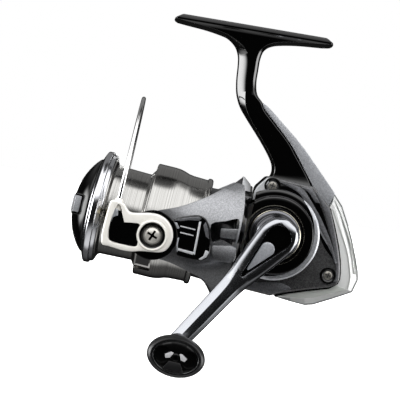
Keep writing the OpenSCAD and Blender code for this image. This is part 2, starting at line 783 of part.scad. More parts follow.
module spool() {
    color("#b9b5aa") on_axis() difference() {
        turned([
            [-2.4, 14.3], [-2.4, 18.7], [-1.5, 21.2], [-0.9, spool_r], [0.6, spool_r],
            [2.2, 20.6], [3.1, 18.2], [3.9, arbor_r], [16.6, arbor_r - 0.4], [17.6, arbor_r + 1],
            [18.2, spool_r], [26.4, spool_r], [28.3, 21.3], [30.4, 20.5], [32.4, 20.2],
            [37.8, 20], [38.2, 20.7], [39.4, 20.7], [40, 20], [40, 18.2], [21, 18.2],
            [20.4, 15.4], [17.4, 14.6], [17.4, 7.6], [18.8, 7.2], [18.8, shaft_r + 0.06],
            [11, shaft_r + 0.06], [11, 13.8], [1.2, 13.8], [1.2, 14.3]
        ]);
        // Rectangular notch low in the skirt, for the line clip
        rotate([clip_turn, 0, 0]) translate([17.8, -5.2, 20.2]) cube([6.4, 10.4, 4]);
        // Cross holes that lighten the web
        for (i = [0 : 5]) rotate([60 * i, 0, 0]) translate([0, 0, 10.8]) rod_x(1.6, 12.4, 20);
    }
}
module line_clip() {
    color("#26262a") on_axis() rotate([clip_turn, 0, 0])
        translate([18.6, -2.4, 20.22]) cube([5, 4.8, 1]);
}
module drag_washers() {
    color("#6a5f4c") on_axis() for (i = [0 : 4])
        tube_x(13.6, i % 2 == 0 ? 4.4 : 2.1, 5.4 + i * 1.1, 6.4 + i * 1.1);
}
module drag_clip() {
    color("#8f9092") on_axis() difference() {
        tube_x(13.78, 12.2, 4.2, 5.2);
        translate([3, -2, 8]) cube([4, 4, 8]);
    }
}
module drag_knob() {
    color("#060607") on_axis() difference() {
        turned([
            [-10.2, 0], [-10.1, 3], [-9.5, 7], [-8.2, 11], [-6.6, 14.2], [-4.6, 17], [-3.1, 18.2],
            [-2.75, 17.4], [-2.75, 13.4], [3.6, 13.4], [3.6, 11.6], [-1, 11.6], [-3.4, 9.6],
            [-3.4, 4.5], [-7.4, 4.5], [-7.4, 0]
        ]);
        // Finger hollows on both sides of the cross bar
        for (z = [4.4, -9]) translate([-14, -11, z]) cube([6, 22, 4.6]);
    }
}
module drag_knob_clip() {
    color("#8f9092") on_axis() difference() {
        tube_x(11.58, 10.6, 0.4, 1.2);
        translate([0, -1.5, 9]) cube([2, 3, 4]);
    }
}
module drag_nut() {
    color("#b09a6a") on_axis() difference() {
        translate([-7.2, 0, 0]) rotate([0, 90, 0]) cylinder(r = 4.3, h = 3.4, $fn = 6);
        rod_x(shaft_r + 0.06, -10, 0);
    }
}
module drag_spring() {
    color("#b7b8ba") on_axis() coil(5.4, 0.5, 4, -2.8, 4);
}

body_frame();
stem_fairing();
side_cover();
rear_cover();
side_cover_screws();
rear_cover_screws();
boss_ring();
boss_cap();
drive_bearing_near();
drive_bearing_far();
port_cap();
clutch_housing();
clutch_ring();
clutch_rollers();
clutch_screws();
pinion_bearing();
pinion_bushing();
guide_rod();
oscillating_axle();
drive_shaft();
drive_gear();
oscillating_drive_gear();
handle_collar();
handle_arm();
handle_insert();
handle_bolt();
knob_shaft();
knob_screw();
handle_knob();
knob_cap();
knob_bushings();
rotor();
rotor_rear_ring();
pinion_gear();
clutch_sleeve();
rotor_nut();
nut_lock();
arm_cover_near();
arm_cover_far();
bail_spring();
kick_lever();
bail_arm();
bail_holder();
bail_wire();
bail_pivot_screws();
roller_screw();
line_roller();
oscillating_gear();
main_shaft();
slider();
slider_screw();
click_gear();
spool();
line_clip();
drag_washers();
drag_clip();
drag_knob();
drag_knob_clip();
drag_nut();
drag_spring();
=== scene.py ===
import math

import bmesh
import bpy
from mathutils import Matrix, Vector


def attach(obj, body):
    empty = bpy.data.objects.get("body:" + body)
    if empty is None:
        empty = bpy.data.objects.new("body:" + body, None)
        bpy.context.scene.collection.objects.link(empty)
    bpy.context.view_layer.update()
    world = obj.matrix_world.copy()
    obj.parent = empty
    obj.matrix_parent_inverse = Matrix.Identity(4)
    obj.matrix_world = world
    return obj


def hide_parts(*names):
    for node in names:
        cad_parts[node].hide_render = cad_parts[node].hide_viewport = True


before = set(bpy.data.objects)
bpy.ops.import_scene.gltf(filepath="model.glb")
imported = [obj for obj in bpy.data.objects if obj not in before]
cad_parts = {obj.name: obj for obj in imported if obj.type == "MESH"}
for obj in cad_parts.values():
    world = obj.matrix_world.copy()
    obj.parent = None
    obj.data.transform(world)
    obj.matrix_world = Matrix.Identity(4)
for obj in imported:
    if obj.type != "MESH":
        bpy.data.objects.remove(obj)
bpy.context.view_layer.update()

# ---- Foot, stem and gear case ----
# One die-cast aluminium body: a flat foot for the rod's reel seat, a slim stem, and the hollow case that
# holds the gears. It is sprayed with black lacquer, so it shines like glass and only its rounded edges
# catch the light.

MM = 0.001
# Edges that bend by more degrees than this show as creases
CREASE = 32
TILT = 4.2
LIP = Vector((-46.9, 0, -77.5))
NEAR_WALL = -7.6
FAR_WALL = 11
WALL = 1.6
UPRIGHT = Matrix.Identity(4)
AXIS = Matrix.Translation(LIP * MM) @ Matrix.Rotation(math.radians(TILT), 4, "Y")


def shift(x, y, z):
    """A move by these millimetres."""
    return Matrix.Translation(Vector((x, y, z)) * MM)


def colour(code):
    """The linear colour of an sRGB hex code."""
    parts = [int(code[i:i + 2], 16) / 255 for i in (1, 3, 5)]
    return [p / 12.92 if p <= 0.04045 else ((p + 0.055) / 1.055) ** 2.4 for p in parts] + [1.0]


def add(tree, kind, values=None, links=None):
    """Adds a node, with values for its settings and sockets, and links from other nodes."""
    node = tree.nodes.new("ShaderNode" + kind)
    for name, value in (values or {}).items():
        if isinstance(name, str) and hasattr(node, name):
            setattr(node, name, value)
        else:
            node.inputs[name].default_value = value
    for name, source in (links or {}).items():
        tree.links.new(source, node.inputs[name])
    return node


def new_finish(name, values):
    """A material whose shader starts from these values, with its node tree and shader."""
    finish = bpy.data.materials.new(name)
    finish.use_nodes = True
    tree = finish.node_tree
    shader = tree.nodes["Principled BSDF"]
    for socket, value in values.items():
        shader.inputs[socket].default_value = value
    return finish, tree, shader


def lacquer(name, code, rough, coat=0.5, ior=1.5):
    """Sprayed and polished lacquer: a faint waviness 2 mm across, and a haze that varies a little."""
    finish, tree, shader = new_finish(name, {"IOR": ior, "Coat Weight": coat, "Coat Roughness": 0.04})
    place = add(tree, "TexCoord").outputs["Object"]
    haze = add(tree, "TexNoise", {"Scale": 1 / (9 * MM), "Detail": 4}, {"Vector": place})
    gloss = add(
        tree, "MapRange", {"To Min": rough * 0.7, "To Max": rough * 1.5}, {"Value": haze.outputs["Fac"]}
    )
    tree.links.new(gloss.outputs["Result"], shader.inputs["Roughness"])
    tint = add(tree, "Mix", {"data_type": "RGBA", 6: colour(code), 7: colour("#0c0c0d")})
    depth = add(tree, "MapRange", {"To Min": 0.0, "To Max": 0.12}, {"Value": haze.outputs["Fac"]})
    tree.links.new(depth.outputs["Result"], tint.inputs[0])
    tree.links.new(tint.outputs[2], shader.inputs["Base Color"])
    wave = add(tree, "TexNoise", {"Scale": 1 / (2 * MM), "Detail": 1}, {"Vector": place})
    bump = add(tree, "Bump", {"Strength": 0.05, "Distance": 0.05 * MM}, {"Height": wave.outputs["Fac"]})
    tree.links.new(bump.outputs["Normal"], shader.inputs["Normal"])
    return finish


def flowing(points, corners=(), steps=4, closed=True):
    """Points on a smooth line through the given ones, which stays sharp at the numbered corners."""
    spots = [Vector(p) for p in points]
    n = len(spots)
    line = []
    for i in range(n if closed else n - 1):
        b, c = spots[i], spots[(i + 1) % n]
        start = i in corners or (not closed and i == 0)
        end = (i + 1) % n in corners or (not closed and i == n - 2)
        a = 2 * b - c if start else spots[i - 1]
        d = 2 * c - b if end else spots[(i + 2) % n]
        for k in range(steps):
            t = k / steps
            curve = 2 * b + (c - a) * t + (2 * a - 5 * b + 4 * c - d) * t * t
            line.append(tuple((curve + (3 * b - a - 3 * c + d) * t ** 3) / 2))
    return line if closed else line + [tuple(spots[-1])]


def loft(rings, caps=True):
    """A skin over rings of points, with a face at each end."""
    form = bmesh.new()
    rows = [[form.verts.new(p) for p in ring] for ring in rings]
    n = len(rows[0])
    for a, b in zip(rows, rows[1:]):
        for i in range(n):
            form.faces.new((a[i], a[(i + 1) % n], b[(i + 1) % n], b[i]))
    if caps:
        form.faces.new(rows[0])
        form.faces.new(rows[-1])
    return form


def slab(outline, y0, y1):
    """A plate with a side outline, from y0 to y1."""
    return loft([[(p[0], y, p[1]) for p in outline] for y in (y0, y1)])


def lathe(profile, about="X", steps=128):
    """A turned form from a closed profile of points: how far along the axis, and the radius."""
    form = bmesh.new()
    rings = []
    for along, radius in profile:
        turns = [2 * math.pi * i / steps for i in range(steps if radius > 0 else 1)]
        ring = [(radius * math.cos(t), radius * math.sin(t)) for t in turns]
        rings.append([form.verts.new((along, a, b) if about == "X" else (a, along, b)) for a, b in ring])
    for a, b in zip(rings, rings[1:] + rings[:1]):
        for i in range(steps):
            corners = [a[i % len(a)], a[(i + 1) % len(a)], b[(i + 1) % len(b)], b[i % len(b)]]
            corners = list(dict.fromkeys(corners))
            if len(corners) > 2:
                form.faces.new(corners)
    return form


def inset(outline, depth):
    """The outline, with each corner moved inward."""
    spots = [Vector(p) for p in outline]
    turn = sum(a.x * b.y - a.y * b.x for a, b in zip(spots, spots[1:] + spots[:1]))
    side = -1 if turn < 0 else 1
    moved = []
    for i, spot in enumerate(spots):
        a = (spot - spots[i - 1]).normalized()
        b = (spots[(i + 1) % len(spots)] - spot).normalized()
        normal = Vector((-a.y - b.y, a.x + b.x)) * side
        moved.append(tuple(spot + normal * depth / max(1 + a.dot(b), 0.4)))
    return moved


def round_edges(form, width, sharper_than=30):
    """Rounds every edge that is sharper than the given angle."""
    sharp = [e for e in form.edges if e.is_manifold and e.calc_face_angle(0) > math.radians(sharper_than)]
    bmesh.ops.bevel(
        form, geom=sharp, offset=width, segments=3, profile=0.5, affect="EDGES", clamp_overlap=True
    )


def mesh_of(name, form, crease=CREASE):
    """A mesh in metres from a form in millimetres, smooth but for its creases."""
    bmesh.ops.recalc_face_normals(form, faces=form.faces)
    bmesh.ops.scale(form, vec=(MM, MM, MM), verts=form.verts)
    mesh = bpy.data.meshes.new(name)
    form.to_mesh(mesh)
    form.free()
    mesh.shade_smooth()
    mesh.set_sharp_from_angle(angle=math.radians(crease))
    return mesh


def piece(name, form, body, finish, place=AXIS, edge=0.0, crease=CREASE):
    """A named piece that rides on a body. Its sharp edges are rounded to the given width."""
    if edge:
        bmesh.ops.recalc_face_normals(form, faces=form.faces)
        round_edges(form, edge, crease)
    made = bpy.data.objects.new(name, mesh_of(name, form, crease))
    bpy.context.scene.collection.objects.link(made)
    made.matrix_world = place
    made.data.materials.append(finish)
    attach(made, body)
    return made


def carve(made, form, place=AXIS, mode="DIFFERENCE", edge=0.0):
    """Cuts a form out of a piece, or keeps only what lies in the form, and rounds the edges."""
    cutter = bpy.data.objects.new("cutter", mesh_of("cutter", form))
    bpy.context.scene.collection.objects.link(cutter)
    cutter.matrix_world = place
    step = made.modifiers.new("carve", "BOOLEAN")
    step.operation = mode
    step.object = cutter
    step.solver = "EXACT"
    bpy.context.view_layer.update()
    shaped = made.evaluated_get(bpy.context.evaluated_depsgraph_get())
    form = bmesh.new()
    form.from_mesh(shaped.data)
    made.modifiers.clear()
    bpy.data.objects.remove(cutter)
    bmesh.ops.dissolve_degenerate(form, dist=0.002 * MM, edges=form.edges)
    if edge:
        round_edges(form, edge * MM)
    form.to_mesh(made.data)
    form.free()
    made.data.shade_smooth()
    made.data.set_sharp_from_angle(angle=math.radians(CREASE))


black_lacquer = lacquer("black lacquer", "#010101", 0.06)
# Height, front, back, half width, and the depth of the facets beside the front and back edges, from the
# foot's top down into the case
STEM_ROWS = [
    (0, -28.2, 28.2, 6.35, 1.0, 1.0), (-0.2, -28.7, 28.7, 6.5, 1.0, 1.0),
    (-1.3, -30.5, 30.5, 6.5, 1.0, 1.0), (-2.1, -30.7, 30.7, 6.5, 1.0, 1.0),
    (-2.5, -27.4, 28.2, 6.2, 1.0, 1.0), (-3.3, -19.0, 18.4, 5.9, 1.0, 1.0),
    (-4.5, -12.4, 11.2, 5.7, 1.2, 1.0), (-5.7, -9.4, 7.7, 5.5, 1.6, 1.0), (-7.2, -7.3, 5.8, 5.3, 2.6, 1.2),
    (-9, -5.7, 4.7, 5.2, 3.8, 1.4), (-12, -4.4, 4.2, 5.2, 4.6, 1.6), (-16, -3.9, 4.2, 5.2, 4.6, 1.6),
    (-20.6, -3.6, 4.3, 5.2, 4.4, 1.6), (-25, -2.9, 5.4, 5.2, 3.8, 1.5), (-28, -1.9, 8.1, 5.2, 3.1, 1.2),
    (-31, -0.3, 9.8, 5.2, 2.3, 1.0), (-35, 3.0, 13.9, 5.2, 1.4, 0.9), (-41.2, 8.5, 20.4, 5.2, 0.9, 0.8),
    (-46, 12.4, 24.2, 5.2, 0.9, 0.8), (-50, 15.0, 27.4, 5.2, 0.9, 0.8), (-53.3, 15.6, 29.9, 5.25, 0.9, 0.8),
    (-56.4, 14.6, 31.9, 5.7, 0.9, 0.8), (-60, 13.8, 34.4, 7.3, 0.9, 0.8)
]


def stem_ring(row):
    height, front, back, half, deep, thin = row
    side = [
        (front, 0.0), (front + deep * 0.03, half * 0.2), (front + deep * 0.12, half * 0.38),
        (front + deep * 0.24, half * 0.5), (front + deep * 0.92, half * 0.965), (front + deep * 1.15, half),
        (back - thin * 1.15, half), (back - thin * 0.85, half * 0.96), (back - thin * 0.3, half * 0.74),
        (back - thin * 0.1, half * 0.45), (back, 0.0),
    ]
    return [(x, -y, height) for x, y in side] + [(x, y, height) for x, y in reversed(side[1:-1])]


rows = STEM_ROWS[:4] + flowing(STEM_ROWS[4:], steps=4, closed=False)
piece(
    "foot_and_stem", loft([stem_ring(r) for r in rows]), "frame", black_lacquer, UPRIGHT,
    edge=0.18
)

CASE_BACK = [
    (38.8, -63), (41.4, -69.1), (44.1, -76.2), (45.9, -82.3), (46.7, -87.1), (46.4, -90.2),
    (43.8, -92.2), (34.7, -94.8), (26.4, -97.4), (22.2, -99.2),
]
CASE = [
    (7.75, -98), (8.95, -81.6), (10.5, -59.6), (14.3, -54.9), (22.4, -55.6), (31.9, -56.2),
    (34.6, -59.2), *CASE_BACK, (18, -98.9),
]
case_line = flowing(CASE, corners=(0, 2, 3, 5, 16, 17), steps=4)
case = piece(
    "gear_case", slab(case_line, NEAR_WALL, FAR_WALL), "frame", black_lacquer, UPRIGHT,
    edge=0.9
)
carve(case, slab(inset(CASE, WALL), NEAR_WALL - 3, FAR_WALL - WALL), UPRIGHT)
# The front of the case is round, and closes the back of the rotor
nose = piece("case_nose", lathe([
    (47, 6.5), (47, 18.7), (47.6, 19.4), (56.6, 19.4), (56.6, 18), (50.8, 18), (50.8, 6.5),
]), "frame", black_lacquer)
carve(nose, loft([[(u, -30, v), (u, NEAR_WALL + 0.1, v), (u, NEAR_WALL + 0.1, -v), (u, -30, -v)]
                  for u, v in ((30, 30), (70, 30))]))
# On the far side a turned boss takes the drive shaft's far bearing
DRIVE = AXIS @ shift(66, 0, 6.25)
piece("far_boss", lathe([
    (9.4, 7), (9.4, 13.6), (11.2, 13.2), (12.6, 12.5), (15.7, 12.3), (16.4, 11.6), (16.4, 5.2),
    (14.6, 5.2), (14.6, 7),
], "Y"), "frame", black_lacquer, DRIVE)
carve(case, lathe([(5, 0), (5, 7), (20, 7), (20, 0)], "Y"), DRIVE)
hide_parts("body_frame")

# ---- Silver fairing ----
# A moulded ABS strip clipped down the back of the stem. It is sprayed with satin silver paint, whose
# metal flakes give it a fine, even sparkle.


def flake_paint(name, dark, light, rough, metal, flake=0.34, coat=0.3):
    """Metallic paint. Its flakes are drawn about ten times too coarse, so that their sparkle shows."""
    finish, tree, shader = new_finish(name, {
        "Metallic": metal, "Roughness": rough, "Coat Weight": coat, "Coat Roughness": 0.12,
    })
    place = add(tree, "TexCoord").outputs["Object"]
    flakes = add(tree, "TexVoronoi", {"Scale": 1 / (flake * MM)}, {"Vector": place})
    parts = add(tree, "SeparateColor", {}, {"Color": flakes.outputs["Color"]})
    cloud = add(tree, "TexNoise", {"Scale": 1 / (14 * MM), "Detail": 3}, {"Vector": place})
    share = add(tree, "Math", {"operation": "MULTIPLY_ADD", 1: 0.7}, {0: parts.outputs["Red"]})
    drift = add(tree, "MapRange", {"To Min": 0.0, "To Max": 0.3}, {"Value": cloud.outputs["Fac"]})
    tree.links.new(drift.outputs["Result"], share.inputs[2])
    paint = add(tree, "Mix", {"data_type": "RGBA", 6: colour(dark), 7: colour(light)}, {0: share.outputs[0]})
    tree.links.new(paint.outputs[2], shader.inputs["Base Color"])
    bump = add(tree, "Bump", {"Strength": 0.12, "Distance": 0.02 * MM}, {"Height": parts.outputs["Green"]})
    tree.links.new(bump.outputs["Normal"], shader.inputs["Normal"])
    return finish


satin_silver = flake_paint("satin silver paint", "#9fa1a6", "#cbcdd1", 0.42, 0.55)
FAIRING = [
    (8, -28), (11.2, -30), (15.8, -33.7), (24.8, -41.2), (32.2, -48.6), (39.4, -56.1), (40.6, -57.6),
    (38.8, -63), (34.6, -59.2), (31.9, -56.2), (25.3, -47.2), (20.4, -41.2), (13.8, -34.9), (8.6, -29.9),
]
fairing = piece(
    "stem_fairing", slab(flowing(FAIRING, corners=(0, 6, 7, 9), steps=4), -5.2, 5.2),
    "frame", satin_silver, UPRIGHT, edge=0.8,
)
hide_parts("stem_fairing")

# ---- Side cover ----
# The near half of the gear case: a cast cover held by three cross-head screws. Its skin is charcoal
# metallic paint, with grey ribs that sweep down its back edge and black lacquer between them.

charcoal = flake_paint("charcoal metallic paint", "#363637", "#707071", 0.34, 0.6)
mid_grey = flake_paint("grey metallic paint", "#5b5c5f", "#86878b", 0.38, 0.6)


def plated(name, code, rough):
    """Plated or polished metal: smooth, with faint hairlines left by the polishing wheel."""
    finish, tree, shader = new_finish(name, {"Metallic": 1.0})
    place = add(tree, "TexCoord").outputs["Object"]
    tones = add(tree, "TexNoise", {"Scale": 1 / (5 * MM), "Detail": 5}, {"Vector": place})
    shade = add(tree, "Mix", {"data_type": "RGBA", 6: colour(code), 7: colour("#8b8b8d")})
    share = add(tree, "MapRange", {"To Min": 0.0, "To Max": 0.25}, {"Value": tones.outputs["Fac"]})
    tree.links.new(share.outputs["Result"], shade.inputs[0])
    tree.links.new(shade.outputs[2], shader.inputs["Base Color"])
    gloss = add(
        tree, "MapRange", {"To Min": rough * 0.6, "To Max": rough * 1.6}, {"Value": tones.outputs["Fac"]}
    )
    tree.links.new(gloss.outputs["Result"], shader.inputs["Roughness"])
    hair = add(
        tree, "Mapping", {"Scale": (1 / (0.25 * MM), 1 / (6 * MM), 1 / (0.25 * MM))}, {"Vector": place}
    )
    lines = add(tree, "TexNoise", {"Scale": 1.0, "Detail": 2}, {"Vector": hair.outputs["Vector"]})
    bump = add(tree, "Bump", {"Strength": 0.04, "Distance": 0.02 * MM}, {"Height": lines.outputs["Fac"]})
    tree.links.new(bump.outputs["Normal"], shader.inputs["Normal"])
    return finish


foil = flake_paint("bright silver foil", "#c2c4c8", "#f2f3f5", 0.3, 0.45, flake=0.15)
chrome = plated("chrome plate", "#e6e7e9", 0.12)
dark_metal = plated("black nickel plate", "#6a6b6f", 0.16)
COVER_FACE = -11.6
cover = piece(
    "side_cover", slab(case_line, COVER_FACE, NEAR_WALL - 0.02), "frame", charcoal,
    UPRIGHT, edge=0.8
)
carve(cover, slab(inset(CASE, WALL), COVER_FACE + WALL, NEAR_WALL + 3), UPRIGHT)
# A box that keeps the round boss clear of the turning rotor
rotor_room = [[(x, y, z) for y, z in ((-40, -40), (40, -40), (40, 40), (-40, 40))] for x in (-40, -10)]
boss = piece("cover_boss", lathe([
    (-10, 14.9), (-10, 17.2), (-11.4, 17.2), (-12.2, 16.8), (-14.6, 16.6), (-15, 16.2), (-15, 15.5),
    (-14, 15.5), (-14, 14.9),
], "Y"), "frame", charcoal, DRIVE)
carve(boss, loft(rotor_room), DRIVE)
carve(cover, lathe([(-30, 0), (-30, 14.9), (0, 14.9), (0, 0)], "Y"), DRIVE)

# Outlines of the raised parts of the cover: their finish, their rise over the cover, and their line
RIB = [
    (18.3, -56.4), (22.5, -56.7), (26.4, -57.3), (28.9, -59.0), (31.8, -62.3), (35.6, -66.9),
    (39.7, -73.0), (42.3, -77.5), (44.3, -82.5), (43.9, -82.8), (41.0, -77.6), (37.3, -72.5),
    (33.9, -67.9), (30.5, -64.0), (27.3, -60.3), (24.8, -58.7), (20.4, -57.2),
]
LINE = [
    (17.9, -60.5), (22.1, -60.8), (27.4, -62.3), (30.1, -64.2), (32.9, -67.1), (35.7, -70.4),
    (38.6, -74.1), (41.9, -78.2), (44.5, -82.7), (44.1, -83.0), (41.5, -78.6), (38.2, -74.7),
    (35.3, -71.0), (32.5, -67.7), (29.7, -64.9), (27.2, -63.0), (22.1, -61.5), (18.0, -61.2),
]
RIM = [
    (32.5, -58.0), (33.3, -58.2), (38.3, -63.4), (41.0, -69.2), (43.6, -76.4), (45.3, -82.5),
    (46.0, -87.3), (45.6, -89.9), (44.9, -89.9), (45.0, -87.2), (44.3, -82.8), (42.3, -76.7), (40.2, -71.7),
    (37.9, -66.6), (35.2, -62.0),
]
CORNER = [
    (14.0, -55.6), (14.5, -57.2), (13.4, -60.0), (13.8, -61.9), (9.8, -64.8), (9.9, -61.6), (11.2, -58.9)
]
BAND = [
    (9.2, -96.6), (13.5, -95.4), (18.3, -94.6), (22.0, -93.9), (26.1, -93.7), (29.4, -95.2), (25.6, -97.0),
    (22.1, -98.4), (18.5, -98.2), (9.3, -97.4),
]
SHINE = [
    (16.7, -63.8), (14.4, -62.0), (18.0, -60.9), (18.4, -57.6), (26.2, -57.5), (28.7, -59.2), (31.6, -62.5),
    (35.4, -67.1), (39.5, -73.2), (44.2, -82.6), (40.2, -79.0), (38.0, -76.2), (35.4, -71.8), (31.6, -67.6),
    (27.4, -64.4), (22.0, -62.6)
]
GAP = [
    (27.8, -57.2), (31.4, -57.2), (34.6, -61.9), (37.6, -67.0), (39.9, -71.9), (42.0, -76.9), (44.0, -82.2),
    (42.5, -77.4), (39.9, -72.9), (35.8, -66.8), (32.0, -62.2)
]
FACET = [(26.6, -57.0), (31.0, -57.0), (34.8, -61.9), (33.0, -61.9), (30.0, -58.7)]
for name, outline, finish, slot, rise, corners in (
    ("cover_shine", SHINE, black_lacquer, "gloss_black", 0.2, (0, 9)),
    ("cover_gap", GAP, black_lacquer, "gloss_black", 0.2, (0, 1, 6)),
    ("cover_facet", FACET, mid_grey, "satin_silver", 0.4, (0, 1, 2, 3)),
    ("cover_rib", RIB, mid_grey, "bright_ring", 0.8, (0, 8)),
    ("cover_line", LINE, satin_silver, "bright_ring", 0.5, (0, 8)),
    ("cover_rim", RIM, mid_grey, "satin_silver", 0.4, (0, 1, 7, 8)),
    ("cover_corner", CORNER, foil, "bright_ring", 0.35, (0, 4)),
    ("cover_band", BAND, mid_grey, "satin_silver", 0.25, (0, 4, 9)),
):
    line = flowing(outline, corners=corners, steps=3)
    piece(
        name, slab(line, COVER_FACE - rise, COVER_FACE + 0.3), "frame", finish, UPRIGHT,
        edge=min(0.2, rise * 0.4)
    )

# Far face of the case: a raised panel in the same charcoal paint
piece(
    "far_panel", slab(inset(CASE, 3.2), FAR_WALL - 0.3, FAR_WALL + 0.5), "frame", charcoal,
    UPRIGHT, edge=0.3
)
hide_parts("side_cover")

# ---- Screws of the covers and of the bail ----
# Nickel-plated steel screws with a slightly domed head and a pressed cross. They hold the covers to the
# case, and the levers of the bail to the rotor's arms.

dull_nickel = flake_paint("dull nickel plate", "#6f6d67", "#a9a69e", 0.3, 0.7, flake=0.12, coat=0.0)
# Painted shade: black for the slots and for the wells round screw heads
recess_shade = lacquer("painted shade in the recesses", "#010101", 0.2)
satin_nickel = flake_paint("satin nickel plate", "#cfccc4", "#f4f1ea", 0.26, 0.5, flake=0.12, coat=0.0)


def cross_screw(name, head, height, shank, length, body, place, turn, finish):
    """A cross-head screw about Y with the top of its head at zero, pointing up the Y axis."""
    made = piece(name, lathe([
        (0.0, 0), (head * 0.02, head * 0.3), (head * 0.08, head * 0.6), (head * 0.18, head * 0.84),
        (head * 0.32, head * 0.98), (head * 0.42, head),
        (height, head), (height, shank), (length, shank), (length + shank * 0.5, 0),
    ], "Y", 48), body, finish, place)
    half, wide, bottom = head * 0.58, head * 0.16, height * 0.75
    for angle in (turn, turn + 90):
        arm = place @ Matrix.Rotation(math.radians(angle), 4, "Y")
        box = [
            [(x, -1, -wide), (x, bottom, -wide * 0.6), (x, bottom, wide * 0.6), (x, -1, wide)]
            for x in (-half, half)
        ]
        carve(made, loft(box), arm)
        # Painted shade: a black plate deep in the slot stands in for the shade in the cross
        slot_shade = [(-half, -wide), (half, -wide), (half, wide), (-half, wide)]
        piece(
            f"{name}_slot_{angle}", slab(slot_shade, bottom * 0.5, bottom), body, recess_shade,
            arm
        )
    return made


for i, (x, z, tip) in enumerate(((16.2, -58.4, 1), (42.3, -88, -4.4), (12.2, -93.4, 1))):
    spot = shift(x, COVER_FACE - 0.35, z)
    cross_screw(f"cover_screw_{i}", 1.9, 1.2, 0.88, tip - COVER_FACE, "frame", spot, 12, dull_nickel)
    # Painted shade: a black ring in the well round the screw head
    piece(f"screw_well_{i}", lathe([
        (0.15, 2.0), (0.05, 2.15), (-0.1, 2.7), (0.0, 3.1), (0.6, 3.15), (0.6, 2.0),
    ], "Y", 48), "frame", recess_shade, spot)
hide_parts("side_cover_screws")
for i, (x, z) in enumerate(((49.8, -90), (36.4, -98.2))):
    spot = shift(x, 10.0, z) @ Matrix.Rotation(math.pi, 4, "Z")
    cross_screw(f"rear_screw_{i}", 1.4, 1.0, 0.8, 9, "frame", spot, 12, dull_nickel)
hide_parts("rear_cover_screws")

# ---- Round boss: black ring with a painted highlight, and black cap ----
# A turned aluminium ring lacquered black, with a painted highlight on its slope: a satin silver crescent
# where the light is mirrored. It sits round a moulded cap in gloss black. The handle's collar turns in the
# middle of the cap.

ring = piece(
    "boss_ring",
    lathe([
        (-14.6, 14.9), (-16.3, 14.9), (-16.45, 15.05), (-16.45, 16.2), (-16.25, 16.6), (-15.4, 16.95),
        (-14.6, 17.0), (-14.02, 16.6), (-14.02, 12), (-14.6, 12)
    ], "Y"),
    "frame", black_lacquer, DRIVE
)
carve(ring, loft(rotor_room), DRIVE)
# Painted highlight: the silver crescent stands in for the light mirrored on the ring's slope, and is widest
# at the back, away from the rotor
HIGHLIGHT_TURN = math.radians(-26)


def highlight_ring(step):
    """The painted highlight's section at one of its 97 steps round the boss."""
    turn = HIGHLIGHT_TURN + math.radians(-88 + 176 * step / 96)
    inner, outer = 16.8 - 2.2 * math.cos(turn - HIGHLIGHT_TURN) ** 0.7, 16.95
    spots = [(inner, -15.9), (inner + 0.05, -16.75), (16.3, -16.6), (outer, -16.0), (outer + 0.05, -15.6)]
    return [(radius * math.cos(turn), y, radius * math.sin(turn)) for radius, y in spots]


piece(
    "boss_highlight", loft([highlight_ring(i) for i in range(97)]), "frame", satin_silver,
    DRIVE
)
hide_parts("boss_ring")
cap = piece(
    "boss_cap",
    lathe([
        (-19.9, 9.55), (-20.1, 9.75), (-20.15, 10.1), (-20.15, 13.5), (-20.0, 14.0), (-19.5, 14.4),
        (-18.6, 14.6), (-14.62, 14.8), (-14.62, 11.8), (-14.04, 11.8), (-14.04, 7.22), (-16.6, 7.22),
        (-16.6, 5.4), (-18.6, 5.4), (-18.6, 9.5)
    ], "Y"),
    "frame", black_lacquer, DRIVE
)
carve(cap, loft(rotor_room), DRIVE)
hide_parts("boss_cap")

# ---- Rear cover ----
# A moulded cap over the back of the case, sprayed pearl white. Creases divide it into a side face, a
# sloping back and a lower facet.


def pearl(name, code, rough):
    """Pearl paint: a white coat with a faint shimmer about 1 mm across under clear lacquer, with painted
    shade that greys it where the surface turns away from the view.
    """
    finish, tree, shader = new_finish(name, {
        "Metallic": 0.08, "IOR": 1.5, "Coat Weight": 0.6, "Coat Roughness": 0.08, "Roughness": rough,
    })
    place = add(tree, "TexCoord").outputs["Object"]
    shimmer = add(tree, "TexNoise", {"Scale": 1 / (1.2 * MM), "Detail": 6}, {"Vector": place})
    share = add(tree, "MapRange", {"To Min": 0.0, "To Max": 0.22}, {"Value": shimmer.outputs["Fac"]})
    paint = add(
        tree, "Mix", {"data_type": "RGBA", 6: colour(code), 7: colour("#b7b8b6")},
        {0: share.outputs["Result"]}
    )
    # Painted shade: grey toward the outline, where the surface turns away from the view
    away = add(tree, "LayerWeight", {"Blend": 0.5})
    edge_shade = add(tree, "MapRange", {
        "interpolation_type": "SMOOTHSTEP", "From Min": 0.62, "From Max": 1.0, "To Max": 0.75,
    }, {"Value": away.outputs["Facing"]})
    paint = add(
        tree, "Mix", {"data_type": "RGBA", 7: colour("#6f7271")},
        {0: edge_shade.outputs["Result"], 6: paint.outputs[2]}
    )
    tree.links.new(paint.outputs[2], shader.inputs["Base Color"])
    bump = add(tree, "Bump", {"Strength": 0.03, "Distance": 0.02 * MM}, {"Height": shimmer.outputs["Fac"]})
    tree.links.new(bump.outputs["Normal"], shader.inputs["Normal"])
    return finish


pearl_white = pearl("pearl white paint", "#dfe0df", 0.25)
